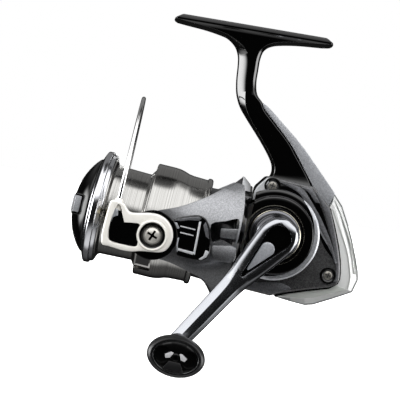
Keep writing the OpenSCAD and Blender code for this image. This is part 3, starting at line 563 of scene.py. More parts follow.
# Outer edge, crease and seam at each step round the back, from the top to the lower front
REAR_STEPS = [
    ((40.4, -57.8), (39.9, -60.5), (38.9, -63.1)), ((43.8, -61.6), (42.5, -65.5), (40.4, -66.6)),
    ((47.1, -68), (45.6, -72.3), (42.7, -72.2)), ((49.8, -74), (47.9, -77.4), (44.4, -76.7)),
    ((52.1, -80), (49.6, -82.2), (45.9, -81.9)), ((53.8, -85), (50.6, -86.2), (46.7, -86.6)),
    ((54.4, -88.2), (51.0, -89), (46.8, -88.8)), ((53.0, -93.1), (50.4, -92.4), (46.3, -90.7)),
    ((46, -96.8), (44.6, -94.8), (43.7, -92.5)), ((39.1, -100.2), (38.6, -97.2), (37.2, -94.4)),
    ((36.1, -100.9), (35.6, -98.2), (34.0, -95.3)), ((30.6, -100.4), (30.2, -98.8), (28.8, -96.9)),
    ((24.4, -99.6), (24.2, -99.3), (23.8, -98.9)),
]
EDGE_Y, CREASE_Y, SEAM_Y = 6.2, 9.2, 9.6
rear_rings = []
for edge, crease, seam in REAR_STEPS:
    near = [(*edge, -EDGE_Y), (*crease, -CREASE_Y), (*seam, -SEAM_Y)]
    rear_rings.append([(x, y, z) for x, z, y in near + [(x, z, -y) for x, z, y in reversed(near)]])
rear = piece(
    "rear_cover", loft(rear_rings), "frame", pearl_white, UPRIGHT, edge=0.3, crease=9
)
# Painted shade: thin grey lines along its creases, and a darker grey plate on its lower facet, which faces
# down
crease_shade_grey = pearl("pale grey painted shade", "#b4b8b3", 0.3)
for name, line, y0, y1 in (
    (
        "rear_crease",
        [(40.0, -63.4), (44.8, -72.0), (48.1, -78.3), (50.2, -84.8), (50.9, -88), (50.6, -92.2)], -9.5, -9.0
    ),
    ("rear_edge", [(40.4, -60.0), (44.2, -66.0), (48.6, -74.4), (51.4, -81.2), (52.8, -86.2)], -8.3, -7.4),
):
    bent = flowing(line, steps=4, closed=False)
    strip = bent + [(x + 0.28, z + 0.1) for x, z in reversed(bent)]
    for side in (-1, 1):
        piece(
            f"{name}_{side + 1}", slab(strip, side * abs(y0), side * abs(y1)), "frame", crease_shade_grey,
            UPRIGHT
        )
# Painted shade: a thin grey strip along its outer edge, where the cover turns away
outer_edge = [Vector(edge) for edge, _, _ in REAR_STEPS]
inward = [(Vector(crease) - Vector(edge)).normalized() for edge, crease, _ in REAR_STEPS]
edge_shade_strip = [tuple(point - way * 0.06) for point, way in zip(outer_edge, inward)]
edge_shade_strip += [tuple(point + way * 0.4) for point, way in zip(reversed(outer_edge), reversed(inward))]
edge_shade_grey = pearl("painted shade along the pearl cover's edge", "#7f8382", 0.35)
for side in (-1, 1):
    piece(
        f"rear_outline_shade_{side + 1}", slab(edge_shade_strip, side * 5.9, side * 6.75), "frame", edge_shade_grey,
        UPRIGHT
    )
LOWER_FACET = [
    (46.0, -91.2), (50.6, -92.3), (44.6, -94.7), (38.7, -97.2), (32.4, -98.6), (26.4, -98.6), (35.0, -95.5),
    (41.4, -93.3)
]
# Painted shade: a grey plate on the lower facet, which faces down, away from the light
for side in (-1, 1):
    piece(
        f"rear_facet_{side + 1}", slab(LOWER_FACET, side * 9.0, side * 9.68), "frame", crease_shade_grey,
        UPRIGHT, edge=0.15
    )
# The dark joint between the cover and the case
joint_line = [(x, z) for _, _, (x, z) in REAR_STEPS]
joint_back = [(x + 0.5, z) for x, z in joint_line[:8]] + [(x + 0.2, z - 0.5) for x, z in joint_line[8:]]
for side in (-1, 1):
    piece(
        f"rear_joint_{side + 1}", slab(joint_line + joint_back[::-1], side * 9.5, side * 9.72), "frame",
        black_lacquer, UPRIGHT
    )
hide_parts("rear_cover")

# ---- Handle ----
# A die-cast aluminium arm in glossy dark silver, screwed through its hub into the drive shaft. Its face has
# a deep teardrop pocket with a grey insert, and wide slopes run along both sides of the arm.

handle_silver = plated("glossy dark silver plate", "#b2b4b9", 0.14)
insert_grey = flake_paint("light grey paint", "#9fa2a8", "#c3c6cb", 0.36, 0.5)
HANDLE = DRIVE @ Matrix.Rotation(math.radians(120.8), 4, "Y")
HUB_FACE = -40
ARM_LENGTH = 49.7
# Along the arm: place, half width, outer face, back, and the slopes on its two sides
ARM_ROWS = [
    (-7.1, 1.2, -38.6, -34.6, 0.5, 0.5), (-6.7, 2.7, -39.3, -34.2, 1.2, 1.2),
    (-5.6, 4.5, -39.8, -34, 1.9, 1.9), (-3.4, 6.25, -40, -34, 2.3, 2.3), (0, 7.1, -40, -34, 2.3, 2.3),
    (3.4, 6.85, -40, -34, 2.3, 2.3), (8, 6.2, -40.1, -34, 2.2, 2.2), (13, 5.4, -40.4, -34.4, 2.1, 2.1),
    (18, 4.6, -40.9, -35.2, 2.1, 2.1), (21, 4.2, -41.2, -35.8, 2.3, 2.0), (24, 3.9, -41.5, -36.3, 2.5, 1.9),
    (30, 3.7, -42.2, -37.0, 2.6, 1.8), (40, 3.5, -43.4, -38.4, 2.5, 1.7), (47, 3.3, -44.2, -39.2, 2.4, 1.7),
    (50, 3.2, -44.4, -39.6, 2.2, 1.6), (52, 2.5, -44.2, -39.8, 1.6, 1.2), (53, 1.0, -43.8, -40.2, 0.4, 0.4)
]


def arm_ring(row):
    x, half, face, back, upper, lower = row
    flat = min(max((x - 14) / 8, 0), 1)
    deep, out = 0.42 + 0.22 * flat, 0.22 + 0.11 * flat
    deep2, out2 = 0.1 + 0.21 * flat, 0.6 + 0.07 * flat
    return [
        (x, back, -half + 0.8), (x, back, half - 0.8), (x, back - 0.9, half), (x, face + lower * 0.95, half),
        (x, face + lower * deep, half - lower * out), (x, face + lower * deep2, half - lower * out2),
        (x, face, half - lower), (x, face, -half + upper),
        (x, face + upper * deep2, -half + upper * out2), (x, face + upper * deep, -half + upper * out),
        (x, face + upper * 0.95, -half), (x, back - 0.9, -half),
    ]


arm = piece(
    "handle_arm", loft([arm_ring(r) for r in flowing(ARM_ROWS, steps=4, closed=False)]),
    "handle", handle_silver, HANDLE, edge=0.25,
)


def teardrop(big, length, small):
    """The outline of a large circle at zero drawn out to a small one along X."""
    lean = math.acos((big - small) / length)
    turns = [lean + (2 * math.pi - 2 * lean) * i / 36 for i in range(37)]
    round_end = [(big * math.cos(t), big * math.sin(t)) for t in turns]
    turns = [-lean + 2 * lean * i / 8 for i in range(9)]
    return round_end + [(length + small * math.cos(t), small * math.sin(t)) for t in turns]


carve(arm, slab(teardrop(4.5, 18.0, 0.5), -60, HUB_FACE + 3), HANDLE, edge=0.22)
piece(
    "pocket_floor", slab(teardrop(4.48, 17.9, 0.5), HUB_FACE + 2.7, HUB_FACE + 3.05), "handle",
    black_lacquer, HANDLE
)
piece(
    "arm_stub", lathe([(-36, 2), (-36, 6.4), (-27.9, 6.4), (-27.45, 6), (-27.45, 2)], "Y"), "handle",
    handle_silver, HANDLE
)
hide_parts("handle_arm")
insert = piece(
    "handle_insert",
    slab([(x + 5.4, z) for x, z in teardrop(2.45, 9.6, 0.4)], HUB_FACE + 0.5, HUB_FACE + 2.9), "handle",
    insert_grey, HANDLE, edge=0.35
)
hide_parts("handle_insert")


def turned_metal(name, light, dark, rough, pitch, strength):
    """Turned aluminium. The tool leaves fine rings round the axis, drawn wide enough to show."""
    finish, tree, shader = new_finish(name, {"Metallic": 1.0, "Anisotropic": 0.4})
    place = add(tree, "TexCoord").outputs["Object"]
    along = add(tree, "Mapping", {"Scale": (1 / (pitch * MM), 2.0, 2.0)}, {"Vector": place})
    lines = add(
        tree, "TexNoise", {"Scale": 1.0, "Detail": 3, "Roughness": 0.7}, {"Vector": along.outputs["Vector"]}
    )
    share = add(tree, "MapRange", {"From Min": 0.35, "From Max": 0.65}, {"Value": lines.outputs["Fac"]})
    metal = add(
        tree, "Mix", {"data_type": "RGBA", 6: colour(dark), 7: colour(light)}, {0: share.outputs["Result"]}
    )
    tree.links.new(metal.outputs[2], shader.inputs["Base Color"])
    gloss = add(
        tree, "MapRange", {"To Min": rough * 1.3, "To Max": rough * 0.8}, {"Value": lines.outputs["Fac"]}
    )
    tree.links.new(gloss.outputs["Result"], shader.inputs["Roughness"])
    bump = add(tree, "Bump", {"Strength": strength, "Distance": 0.03 * MM}, {"Height": lines.outputs["Fac"]})
    tree.links.new(bump.outputs["Normal"], shader.inputs["Normal"])
    return finish


# The collar between the boss and the handle is turned and black nickel plated; a ring on it, and a thin line
# on the cap, are anodised champagne
champagne = plated("champagne anodised aluminium", "#c4bfae", 0.2)
collar = piece("handle_collar", lathe([
    (-20, 3.2), (-20, 8.6), (-20.6, 9.1), (-21.9, 9.1), (-22.2, 8.7), (-22.3, 8.3), (-23.6, 8.2),
    (-24.4, 8.0), (-24.9, 7.5), (-26.6, 7.3), (-27.4, 6.6), (-27.4, 2), (-20.65, 2), (-20.65, 3.2),
], "Y"), "handle", dark_metal, DRIVE)
piece("collar_ring", lathe([
    (-20.6, 9.0), (-20.8, 9.35), (-21.3, 9.4), (-21.9, 9.35), (-22.1, 9.15), (-21.8, 9.0),
], "Y"), "handle", champagne, DRIVE)
piece("cap_line", lathe([
    (-20.1, 10.7), (-20.26, 10.75), (-20.28, 10.95), (-20.1, 11.0),
], "Y"), "frame", champagne, DRIVE)
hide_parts("handle_collar")

# ---- Knob ----
# An oval grip moulded in charcoal ABS with a fine spark-eroded grain, which turns on the arm's shaft. A
# black cap with small grey inlays snaps into its end.


def moulded(name, code, worn, rough, grain=0.35, depth=0.12):
    """Moulded plastic with the fine grain of its mould."""
    finish, tree, shader = new_finish(name, {"IOR": 1.48})
    place = add(tree, "TexCoord").outputs["Object"]
    cells = add(tree, "TexNoise", {"Scale": 1 / (grain * MM), "Detail": 4}, {"Vector": place})
    wear = add(tree, "TexNoise", {"Scale": 1 / (8 * MM), "Detail": 2}, {"Vector": place})
    share = add(tree, "MapRange", {"To Min": 0.0, "To Max": 0.25}, {"Value": wear.outputs["Fac"]})
    paint = add(
        tree, "Mix", {"data_type": "RGBA", 6: colour(code), 7: colour(worn)}, {0: share.outputs["Result"]}
    )
    tree.links.new(paint.outputs[2], shader.inputs["Base Color"])
    gloss = add(
        tree, "MapRange", {"To Min": rough * 0.8, "To Max": rough * 1.25}, {"Value": cells.outputs["Fac"]}
    )
    tree.links.new(gloss.outputs["Result"], shader.inputs["Roughness"])
    bump = add(tree, "Bump", {"Strength": depth, "Distance": 0.04 * MM}, {"Height": cells.outputs["Fac"]})
    tree.links.new(bump.outputs["Normal"], shader.inputs["Normal"])
    return finish


knob_charcoal = moulded("charcoal ABS", "#0b0b0c", "#1c1c1e", 0.38)
cap_black = moulded("black ABS", "#020202", "#0a0a0b", 0.2, depth=0.04)
inlay_grey = moulded("grey ABS", "#b9b9bb", "#8a8a8c", 0.35)
KNOB = HANDLE @ shift(ARM_LENGTH, 0, 0) @ Matrix.Rotation(math.radians(-121), 4, "Y")


def oval_ring(y, wide, high):
    turns = [2 * math.pi * i / 72 for i in range(72)]
    return [(wide * math.cos(t), y, high * math.sin(t)) for t in turns]


KNOB_ROWS = [
    (-46, 3.9, 3.2), (-46.8, 4.2, 3.4), (-50, 4.6, 3.6), (-56, 5.7, 4.1), (-62, 7.2, 4.9), (-67, 8.6, 5.9),
    (-70.6, 9.3, 6.5), (-72.4, 9.35, 6.55), (-73.8, 9.1, 6.4), (-74.7, 8.6, 6.1), (-75, 8.15, 5.8),
    (-74.9, 7.8, 5.5), (-74.2, 7.6, 5.3), (-73.2, 7.55, 5.25),
]
knob = piece(
    "handle_knob", loft([oval_ring(*r) for r in KNOB_ROWS]), "knob", knob_charcoal, KNOB
)
carve(knob, lathe([(-80, 0), (-80, 3), (-40, 3), (-40, 0)], "Y", 64), KNOB)
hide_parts("handle_knob")
CAP_FACE = -74.1
knob_cap = piece("knob_cap", loft([
    oval_ring(-73.2, 7.5, 5.2), oval_ring(CAP_FACE + 0.2, 7.45, 5.15), oval_ring(CAP_FACE, 7.2, 4.95),
    oval_ring(CAP_FACE - 0.25, 6.0, 4.0), oval_ring(CAP_FACE - 0.3, 3.0, 2.0),
]), "knob", cap_black, KNOB)
for side in (-1, 1):
    turns = [math.pi * i / 20 for i in range(40)]
    spots = [(side * 4.3 + 2.3 * math.cos(t), 0.1 + 2.7 * math.sin(t)) for t in turns]
    carve(knob_cap, slab(spots, -80, CAP_FACE + 0.5), KNOB, edge=0.08)
    wing = [(side * x, z) for x, z in ((0.9, 1.3), (1.8, 1.5), (3.6, 0.3), (3.1, -0.8), (1.8, -0.5))]
    piece(
        f"knob_wing_{side + 1}", slab(wing, CAP_FACE - 0.55, CAP_FACE), "knob", inlay_grey,
        KNOB, edge=0.12
    )
FAN = [(-1.8, -1.5), (1.8, -1.5), (3.2, -3.9), (1.4, -4.5), (-1.4, -4.5), (-3.2, -3.9)]
piece("knob_fan", slab(FAN, CAP_FACE - 0.4, CAP_FACE), "knob", knob_charcoal, KNOB, edge=0.12)
piece("knob_hub", lathe([(CAP_FACE, 0), (CAP_FACE, 1.3), (CAP_FACE - 0.5, 1.2), (CAP_FACE - 0.6, 1.0),
                         (CAP_FACE - 0.6, 0.55), (CAP_FACE - 0.3, 0.5), (CAP_FACE - 0.3, 0)], "Y", 40),
      "knob", cap_black, KNOB)
piece(
    "knob_trim",
    loft([
        oval_ring(-73.6, 7.54, 5.24), oval_ring(-74.4, 7.5, 5.2), oval_ring(-74.6, 7.3, 5.0),
        oval_ring(-74.3, 7.05, 4.8), oval_ring(-73.6, 6.95, 4.7), oval_ring(-73.6, 7.54, 5.24)
    ], caps=False),
    "knob", chrome, KNOB
)
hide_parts("knob_cap")

# ---- Rotor ----
# A cast aluminium drum with two arms that carry the bail. The arms are sprayed with light metallic paint,
# with painted shade that darkens them toward their front and along their lower edge, and the drum between
# them is painted dark as painted shade. Each arm is hollow, with a window near its root and a cover over its
# bail spring.

rotor_silver = flake_paint("rotor silver paint with painted shade", "#747578", "#acadb0", 0.36, 0.8, flake=0.24)
rotor_drum_shade = flake_paint("rotor drum painted shade", "#2c2c2e", "#4a4a4d", 0.38, 0.6)
# Painted shade: the silver is mixed with black toward the front of each arm and along its lower edge, where
# the arms lie in shade and mirror the dark
rotor_shading = rotor_silver.node_tree
shade_place = add(rotor_shading, "SeparateXYZ", {}, {"Vector": add(rotor_shading, "TexCoord").outputs["Object"]})
# Painted shade: darker toward the front of each arm, but not low down
along = add(rotor_shading, "MapRange", {
    "interpolation_type": "SMOOTHSTEP", "From Min": 20 * MM, "From Max": 37 * MM, "To Min": 0.04,
}, {"Value": shade_place.outputs["X"]})
# Painted shade: darker along the lower edge of each arm, which faces away from the light above
across = add(rotor_shading, "MapRange", {
    "interpolation_type": "SMOOTHSTEP", "From Min": -10 * MM, "From Max": 4 * MM, "To Min": 0.28,
}, {"Value": shade_place.outputs["Z"]})
lower_part = add(
    rotor_shading, "MapRange",
    {
        "interpolation_type": "SMOOTHSTEP", "From Min": -5 * MM, "From Max": 2 * MM, "To Min": 1.0,
        "To Max": 0.0
    },
    {"Value": shade_place.outputs["Z"]}
)
along = add(
    rotor_shading, "Math", {"operation": "MAXIMUM"}, {0: along.outputs["Result"], 1: lower_part.outputs["Result"]}
)
share = add(rotor_shading, "Math", {"operation": "MULTIPLY"}, {0: along.outputs[0], 1: across.outputs["Result"]})
shader = rotor_shading.nodes["Principled BSDF"]
paint = shader.inputs["Base Color"].links[0].from_socket
painted_shade_mix = add(rotor_shading, "Mix", {"data_type": "RGBA", 6: colour("#0b0b0c")}, {0: share.outputs[0], 7: paint})
rotor_shading.links.new(painted_shade_mix.outputs[2], shader.inputs["Base Color"])
# Painted shade: the drum between the arms is painted dark, for the shade it lies in
drum = piece("rotor_drum", lathe([
    (27, 15.6), (27, 16.6), (27.3, 17.1), (27.9, 17.4), (40.5, 17.5), (44, 17.7), (45.4, 18.4), (46.4, 19.4),
    (48.4, 21.8), (50.2, 23.9), (50.28, 23.6), (50.28, 21), (47.2, 20.2), (45.6, 18), (45.4, 15.8),
    (34.3, 15.8), (34.3, 3.5), (30, 3.5), (30, 15.6),
]), "rotor", rotor_drum_shade)
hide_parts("rotor")
ARM = [
    (49.6, 22.8), (47, 20.6), (42.7, 17.4), (39.3, 14.5), (36.4, 12.4), (33.2, 10.2), (28.3, 7.5),
    (22, 4.8), (18.4, 2.2), (15.9, -1.8), (16.2, -6.8), (19.3, -10.6), (25, -11.7), (31.2, -12.2),
    (38.4, -13.8), (45.2, -16), (49.6, -21.2), (51.6, -20), (52.6, -13.6), (53.0, -4), (53.0, 9.2),
    (52.3, 16.4), (51, 21.8)
]
WINDOW = [
    (42.4, 4.9), (47.2, 7.2), (51.0, 9.0), (52.2, 7.9), (52.4, 3.0), (52.3, -0.6), (50.0, -0.3),
    (46.9, 0.1), (44.2, -1.2)
]
FLAT = [(44.3, -1.7), (46.8, -0.6), (51.2, -0.9), (53.3, -1.4), (53.4, -6.2), (49.4, -7.1), (45.6, -6.6)]
arm_cover_line = [
    (28.6, 3.2), (30.9, 4.8), (34.2, 6.2), (37.4, 7.1), (40.2, 6.4), (42.2, 3.6), (43.5, -0.4),
    (44.2, -4.6), (43.8, -7.0), (41.8, -8.5), (38.0, -8.9), (33.7, -8.9), (32.6, -8.0), (31.8, -5.6),
    (31.5, -2.2), (30.4, 0.8)
]
COVER_TOP = -30.4
# Silver foil and grey details on the black cover: their finish, rise and line
TRIM = {
    "bar": (foil, 0.3, [(38.0, 4.9), (38.7, 5.1), (39.3, -7.0), (38.6, -6.6)]),
    "upper_line": (foil, 0.2, [(31.9, 2.0), (31.9, 1.6), (37.3, 1.6), (37.3, 2.0)]),
    "lower_line": (foil, 0.2, [(32.3, -0.2), (32.3, -0.6), (37.2, -0.6), (37.2, -0.2)]),
    "foot_line": (foil, 0.3, [(32.9, -6.0), (33.1, -6.8), (38.6, -7.1), (38.6, -6.1)]),
    "corner": (
        foil, 0.25, [(42.6, -4.3), (43.9, -4.7), (43.5, -6.7), (41.9, -8.1), (40.9, -8.1), (42.4, -6.5)]
    ),
    "facet": (mid_grey, 0.2, [(39.7, 4.1), (40.3, 5.4), (41.7, 3.1), (42.9, -0.3), (41.5, 0.4)]),
    "top": (
        mid_grey, 0.25,
        [
            (29.3, 3.3), (31.2, 4.4), (34.2, 5.7), (37.3, 6.6), (38.5, 6.2), (38.0, 5.3), (34.4, 4.6),
            (31.4, 3.5)
        ]
    ),
    "arc_high": (insert_grey, 0.2, [(29.4, 2.7), (30.4, 2.7), (31.7, 1.0), (31.0, 0.6)]),
    "arc_low": (
        insert_grey, 0.2,
        [(31.9, -2.6), (32.4, -2.2), (32.5, -4.8), (33.1, -7.3), (32.8, -7.4), (32.1, -5.0)]
    )
}
HINGE = AXIS @ shift(22.9, 0, -3.8)


def on_arm(way, form):
    """The form on the near arm, or turned over onto the far one where way is -1."""
    bmesh.ops.scale(form, vec=(1, way, 1), verts=form.verts)
    return form


for side, way in (("near", 1), ("far", -1)):
    rotor_arm = piece(
        f"rotor_arm_{side}", on_arm(way, slab(flowing(ARM, corners=(0, 16, 22), steps=4), -29, -17)),
        "rotor", rotor_silver,
    )
    carve(
        rotor_arm,
        lathe([
            (10, 0), (10, 26.9), (18, 27.5), (26, 27.8), (38, 27.8), (44, 27.7), (50.3, 27.4),
            (54.2, 27), (54.2, 0)
        ], steps=256),
        mode="INTERSECT", edge=0.7
    )
    carve(rotor_arm, lathe([(0, 0), (0, 22.6), (45, 22.6), (45, 19.6), (47.4, 21.4), (60, 21.4), (60, 0)]))
    carve(rotor_arm, on_arm(way, slab(flowing(WINDOW, steps=3), -40, -10)), edge=0.3)
    carve(rotor_arm, on_arm(way, slab(inset(arm_cover_line, 1.2), -40, -24.3)))
    carve(rotor_arm, lathe([(50.28, 18), (50.28, 24.75), (60, 24.75), (60, 18)]))
    piece(
        f"window_bar_{side}",
        on_arm(way, slab([(46.2, 4.2), (53.0, 5.6), (53.3, 1.6), (46.6, 1.0)], -25.2, -22)), "rotor",
        rotor_silver, edge=0.3
    )
    # A sloping flat below the window
    patch = flowing(FLAT, corners=(3,), steps=3)
    flat = loft([[(u, -26.4, v) for u, v in patch], [(u, -27.2 + 0.16 * v, v) for u, v in patch]])
    piece(f"arm_flat_{side}", on_arm(way, flat), "rotor", rotor_silver, edge=0.3)
    # A black boss under the bail lever
    piece(f"lever_boss_{side}", on_arm(way, lathe([
        (-28.08, 5), (-28.08, 8.7), (-27.8, 8.95), (-24.5, 8.95), (-24.5, 5),
    ], "Y", 96)), "rotor", black_lacquer, HINGE)
    arm_cover = piece(
        f"arm_cover_{side}",
        on_arm(way, slab(flowing(arm_cover_line, corners=(0, 12), steps=3), COVER_TOP, -27.72)), "rotor",
        black_lacquer, edge=0.5
    )
    for part, (finish, rise, line) in TRIM.items():
        piece(
            f"cover_{part}_{side}", on_arm(way, slab(line, COVER_TOP - rise, COVER_TOP + 0.4)), "rotor",
            finish, edge=rise * 0.35
        )
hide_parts("arm_cover_near")
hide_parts("arm_cover_far")

# The ring behind the arms ties them together. It is lacquered black, with a band of silver foil on its slope
back_ring = piece(
    "rotor_rear_ring",
    lathe([
        (50.3, 21), (50.3, 24.0), (50.6, 24.3), (51.2, 24.1), (54, 21.9), (54.9, 21.6), (54.9, 20.6),
        (54.2, 20.2), (51.6, 20.2)
    ]),
    "rotor", black_lacquer
)
band = piece(
    "ring_band",
    lathe([
        (50.5, 24.2), (50.45, 24.5), (50.8, 24.6), (51.1, 24.55), (53.8, 22.45), (54.0, 22.1),
        (53.6, 22.0), (51.0, 24.0)
    ]),
    "rotor", foil
)
carve(
    band, loft([[(u, y, v) for y, v in ((-40, -19), (40, -19), (40, 19.5), (-40, 19.5))] for u in (40, 70)])
)
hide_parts("rotor_rear_ring")

# ---- Bail ----
# Two cast levers in ivory paint pivot on the rotor's arms and hold a bright steel wire between them. The
# near lever carries the line roller, and its face has a black pocket.

ivory = pearl("ivory paint", "#f6f3ec", 0.24)
LEVER = [
    (8.6, 5.3), (10.5, 4.9), (11.9, 3.5), (13.3, 2.5), (15.8, 2.7), (20.2, 3.8), (23.9, 3.9), (27.2, 2.5),
    (29.5, -0.2), (30.3, -3.6), (29.4, -7.0), (27.4, -8.9), (23.5, -9.7), (20.0, -10.3), (17.0, -11.2),
    (13.1, -11.5), (9.0, -11.2), (6.4, -11.1), (5.5, -9.0), (5.2, -5.4), (5.3, -0.6), (5.5, 3.1),
    (5.8, 4.8), (7.0, 5.4)
]
POCKET = [
    (8.9, 4.2), (9.9, 3.2), (11.0, 0.8), (12.2, -1.6), (16.8, -0.8), (17.9, -1.2), (17.6, -3.8),
    (18.2, -6.0), (18.6, -8.2), (17.6, -9.2), (14.0, -9.4), (8.4, -9.0), (7.3, -4.4), (7.6, 0.8), (8.2, 3.4)
]
lever = piece(
    "bail_arm", slab(flowing(LEVER, corners=(), steps=4), -31.4, -28.2), "bail", ivory,
    edge=0.7
)
carve(lever, slab(flowing(POCKET, corners=(3, 5), steps=3), -40, -29.5), edge=0.25)
piece("bail_pivot_ring", lathe([
    (-31.9, 4.75), (-32.0, 5.0), (-31.9, 5.35), (-31.3, 5.6), (-28.4, 5.7), (-28.2, 4.6), (-31.6, 4.6),
], "Y", 72), "bail", ivory, HINGE)
carve(lever, lathe([(-40, 0), (-40, 4.7), (-29.8, 4.7), (-29.8, 0)], "Y", 72), HINGE)
piece("bail_pocket_floor", slab(inset(POCKET, -0.2), -29.7, -29.3), "bail", black_lacquer)
piece("bail_grey_block", slab([(7.6, -2.5), (7.3, 0.7), (8.1, 2.7), (9.0, 2.2), (9.7, -2.0)], -30.7, -29.4),
      "bail", insert_grey, edge=0.2)
# Painted shade: a black ring in the well round the pivot screw
piece("bail_pivot_well", lathe([
    (-29.4, 3.0), (-31.2, 3.62), (-31.5, 3.7), (-31.5, 4.1), (-31.7, 4.6), (-29.4, 4.72),
], "Y", 72), "bail", recess_shade, HINGE)
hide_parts("bail_arm")
HOLDER = [
    (7.2, 6.4), (3.3, 5.9), (3.5, 2.4), (10.5, -3), (16.6, -8), (20.4, -10.6), (25.2, -10.8),
    (29, -8), (30.3, -3.6), (28.8, 0.8), (25.2, 3.4), (20.4, 3.7), (13.4, 3.7),
]
holder = piece(
    "bail_holder", slab(flowing(HOLDER, corners=(1,), steps=4), 28.2, 31.4), "bail", ivory,
    edge=0.7
)
carve(holder, lathe([(29.8, 0), (29.8, 4.2), (40, 4.2), (40, 0)], "Y", 64), HINGE, edge=0.2)
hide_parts("bail_holder")
near_pivot = cross_screw(
    "bail_pivot_near", 3.4, 1.5, 2.1, 7.8, "bail", HINGE @ shift(0, -31.3, 0), 20, satin_nickel
)
cross_screw("bail_pivot_far", 3.4, 1.5, 2.1, 7.8, "bail",
            HINGE @ shift(0, 31.3, 0) @ Matrix.Rotation(math.pi, 4, "Z"), 20, satin_nickel)
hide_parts("bail_pivot_screws")

steel_wire = plated("polished stainless steel", "#e3e3e2", 0.1)
BAIL_HALF, BAIL_TOP, WIRE = 28.6, 44.4, 0.8
WIRE_NEAR, WIRE_FAR = 8.4, 5.2


def wire_ring(step, steps=64):
    t = math.pi * step / steps
    middle, half = (WIRE_NEAR + WIRE_FAR) / 2, (WIRE_NEAR - WIRE_FAR) / 2
    at = Vector(
        (
            middle + half * math.cos(t) - 0.4 * math.sin(t), -BAIL_HALF * math.cos(t),
            4.2 + (BAIL_TOP - 4.2) * math.sin(t)
        )
    )
    ahead = Vector((
        -half * math.sin(t) - 0.4 * math.cos(t), BAIL_HALF * math.sin(t), (BAIL_TOP - 4.2) * math.cos(t)
    )).normalized()
    side = ahead.cross(Vector((1, 0, 0))).normalized()
    up = ahead.cross(side)
    turns = [2 * math.pi * i / 16 for i in range(16)]
    return [at + WIRE * (side * math.cos(a) + up * math.sin(a)) for a in turns]


wire = piece("bail_wire", loft([wire_ring(i) for i in range(65)]), "bail", steel_wire)
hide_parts("bail_wire")
for side, place in ((-1, WIRE_NEAR), (1, WIRE_FAR)):
    spot = AXIS @ shift(place, side * BAIL_HALF, 4.0) @ Matrix.Rotation(-math.pi / 2, 4, "Y")
    piece(f"wire_socket_{side + 1}", lathe([
        (-2.0, 0.0), (-2.0, 1.9), (0.8, 1.8), (1.8, 1.45), (2.3, 1.0), (2.3, 0.0),
    ], "X", 40), "bail", ivory, spot)

# ---- Spool ----
# Turned from aluminium bar and anodised in a pale champagne. The line lies on its arbor between a polished
# lip and a flange, and its skirt reaches back over the rotor, with a notch for the line clip.

turned_champagne = turned_metal("turned champagne aluminium", "#b7b6b3", "#979694", 0.16, 0.45, 0.06)
polished_lip = plated("polished aluminium", "#d9dade", 0.13)
spool = piece(
    "spool",
    lathe([
        (1.9, 19.4), (2.7, 19.0), (3.1, 18.2), (3.5, 17.6), (4.2, 17.3), (10, 17.1), (16.4, 16.9),
        (17.0, 17.9), (17.5, 18.6), (17.75, 18.75), (17.95, 18.7), (18.05, 21.3), (18.3, 21.62),
        (18.7, 21.7), (24.5, 21.7), (26.4, 21.6), (28.3, 21.2), (30.4, 20.5), (32.4, 20.2),
        (37.6, 20.0), (37.9, 20.2), (38.1, 20.55), (38.4, 20.7), (39.2, 20.7), (39.6, 20.5),
        (39.9, 20.1), (40, 19.6), (40, 18.2), (21, 18.2), (20.4, 15.4), (17.4, 14.6), (17.4, 7.6),
        (18.8, 7.2), (18.8, 2.06), (11, 2.06), (11, 13.8), (1.2, 13.8), (1.2, 16)
    ], steps=192),
    "spool", turned_champagne
)
clip_turn = Matrix.Rotation(math.radians(134), 4, "X")
carve(
    spool,
    loft(
        [[(u, -5.2, v), (u, 5.2, v), (u, 5.2, v + 4), (u, -5.2, v + 4)]
        for u, v in ((17.8, 20.2), (24.2, 20.2))]
    ),
    AXIS @ clip_turn, edge=0.15
)
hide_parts("spool")
piece(
    "spool_lip",
    lathe([
        (1.2, 13.85), (-2.3, 13.9), (-2.6, 14.4), (-2.9, 15.6), (-3.1, 17.0), (-3.05, 17.8),
        (-2.7, 18.7), (-2.45, 19.0), (-2.4, 19.4), (-2.0, 20.4), (-1.6, 21.25), (-1.4, 21.55),
        (-1.1, 21.7), (0.3, 21.7), (0.6, 21.6), (0.75, 21.3), (0.85, 21.0), (1.1, 20.85), (1.8, 20.75),
        (2.15, 20.5), (2.35, 20.0), (2.35, 19.4), (2.2, 18.9), (1.2, 16)
    ], steps=192),
    "spool", polished_lip
)

# ---- Drag knob ----
# A domed cap in gloss black on the front of the spool. Two black blocks on it give the fingers a grip, and
# thin plates in satin silver lie on their ends and fronts.

deep_black = lacquer("deep black lacquer", "#010101", 0.08, coat=0.0, ior=1.36)
drag = piece(
    "drag_knob",
    lathe([
        (-10.2, 0), (-10.15, 2), (-9.95, 4.5), (-9.5, 7), (-8.9, 9.2), (-8.1, 11.3), (-7.1, 13.3),
        (-6.0, 15.1), (-4.9, 16.6), (-4.0, 17.6), (-3.4, 18.05), (-3.1, 18.1), (-2.95, 17.8),
        (-2.85, 13.4), (3.6, 13.4), (3.6, 11.6), (-1, 11.6), (-3.4, 9.6), (-3.4, 4.5), (-7.4, 4.5),
        (-7.4, 0)
    ], steps=160),
    "drag_knob", deep_black
)
for side in (-1, 1):
    grip = [(-8.9, 3.9), (-4.4, 3.9), (-4.4, -3.9), (-8.9, -3.9)]
    piece(
        f"grip_end_{side + 1}", slab(grip, side * 8, side * 15.2), "drag_knob", black_lacquer,
        edge=0.3
    )
    grip_side = [(-8.5, 3.0), (-6.2, 3.0), (-6.2, -3.0), (-8.5, -3.0)]
    piece(
        f"grip_side_{side + 1}", slab(grip_side, side * 15.0, side * 15.4), "drag_knob", satin_silver,
        edge=0.12
    )
    grip_face = [(-9.7, 3.0), (-8.6, 3.6), (-8.6, -3.6), (-9.7, -3.0)]
    piece(
        f"grip_face_{side + 1}", slab(grip_face, side * 7.6, side * 12.6), "drag_knob", satin_silver,
        edge=0.3
    )
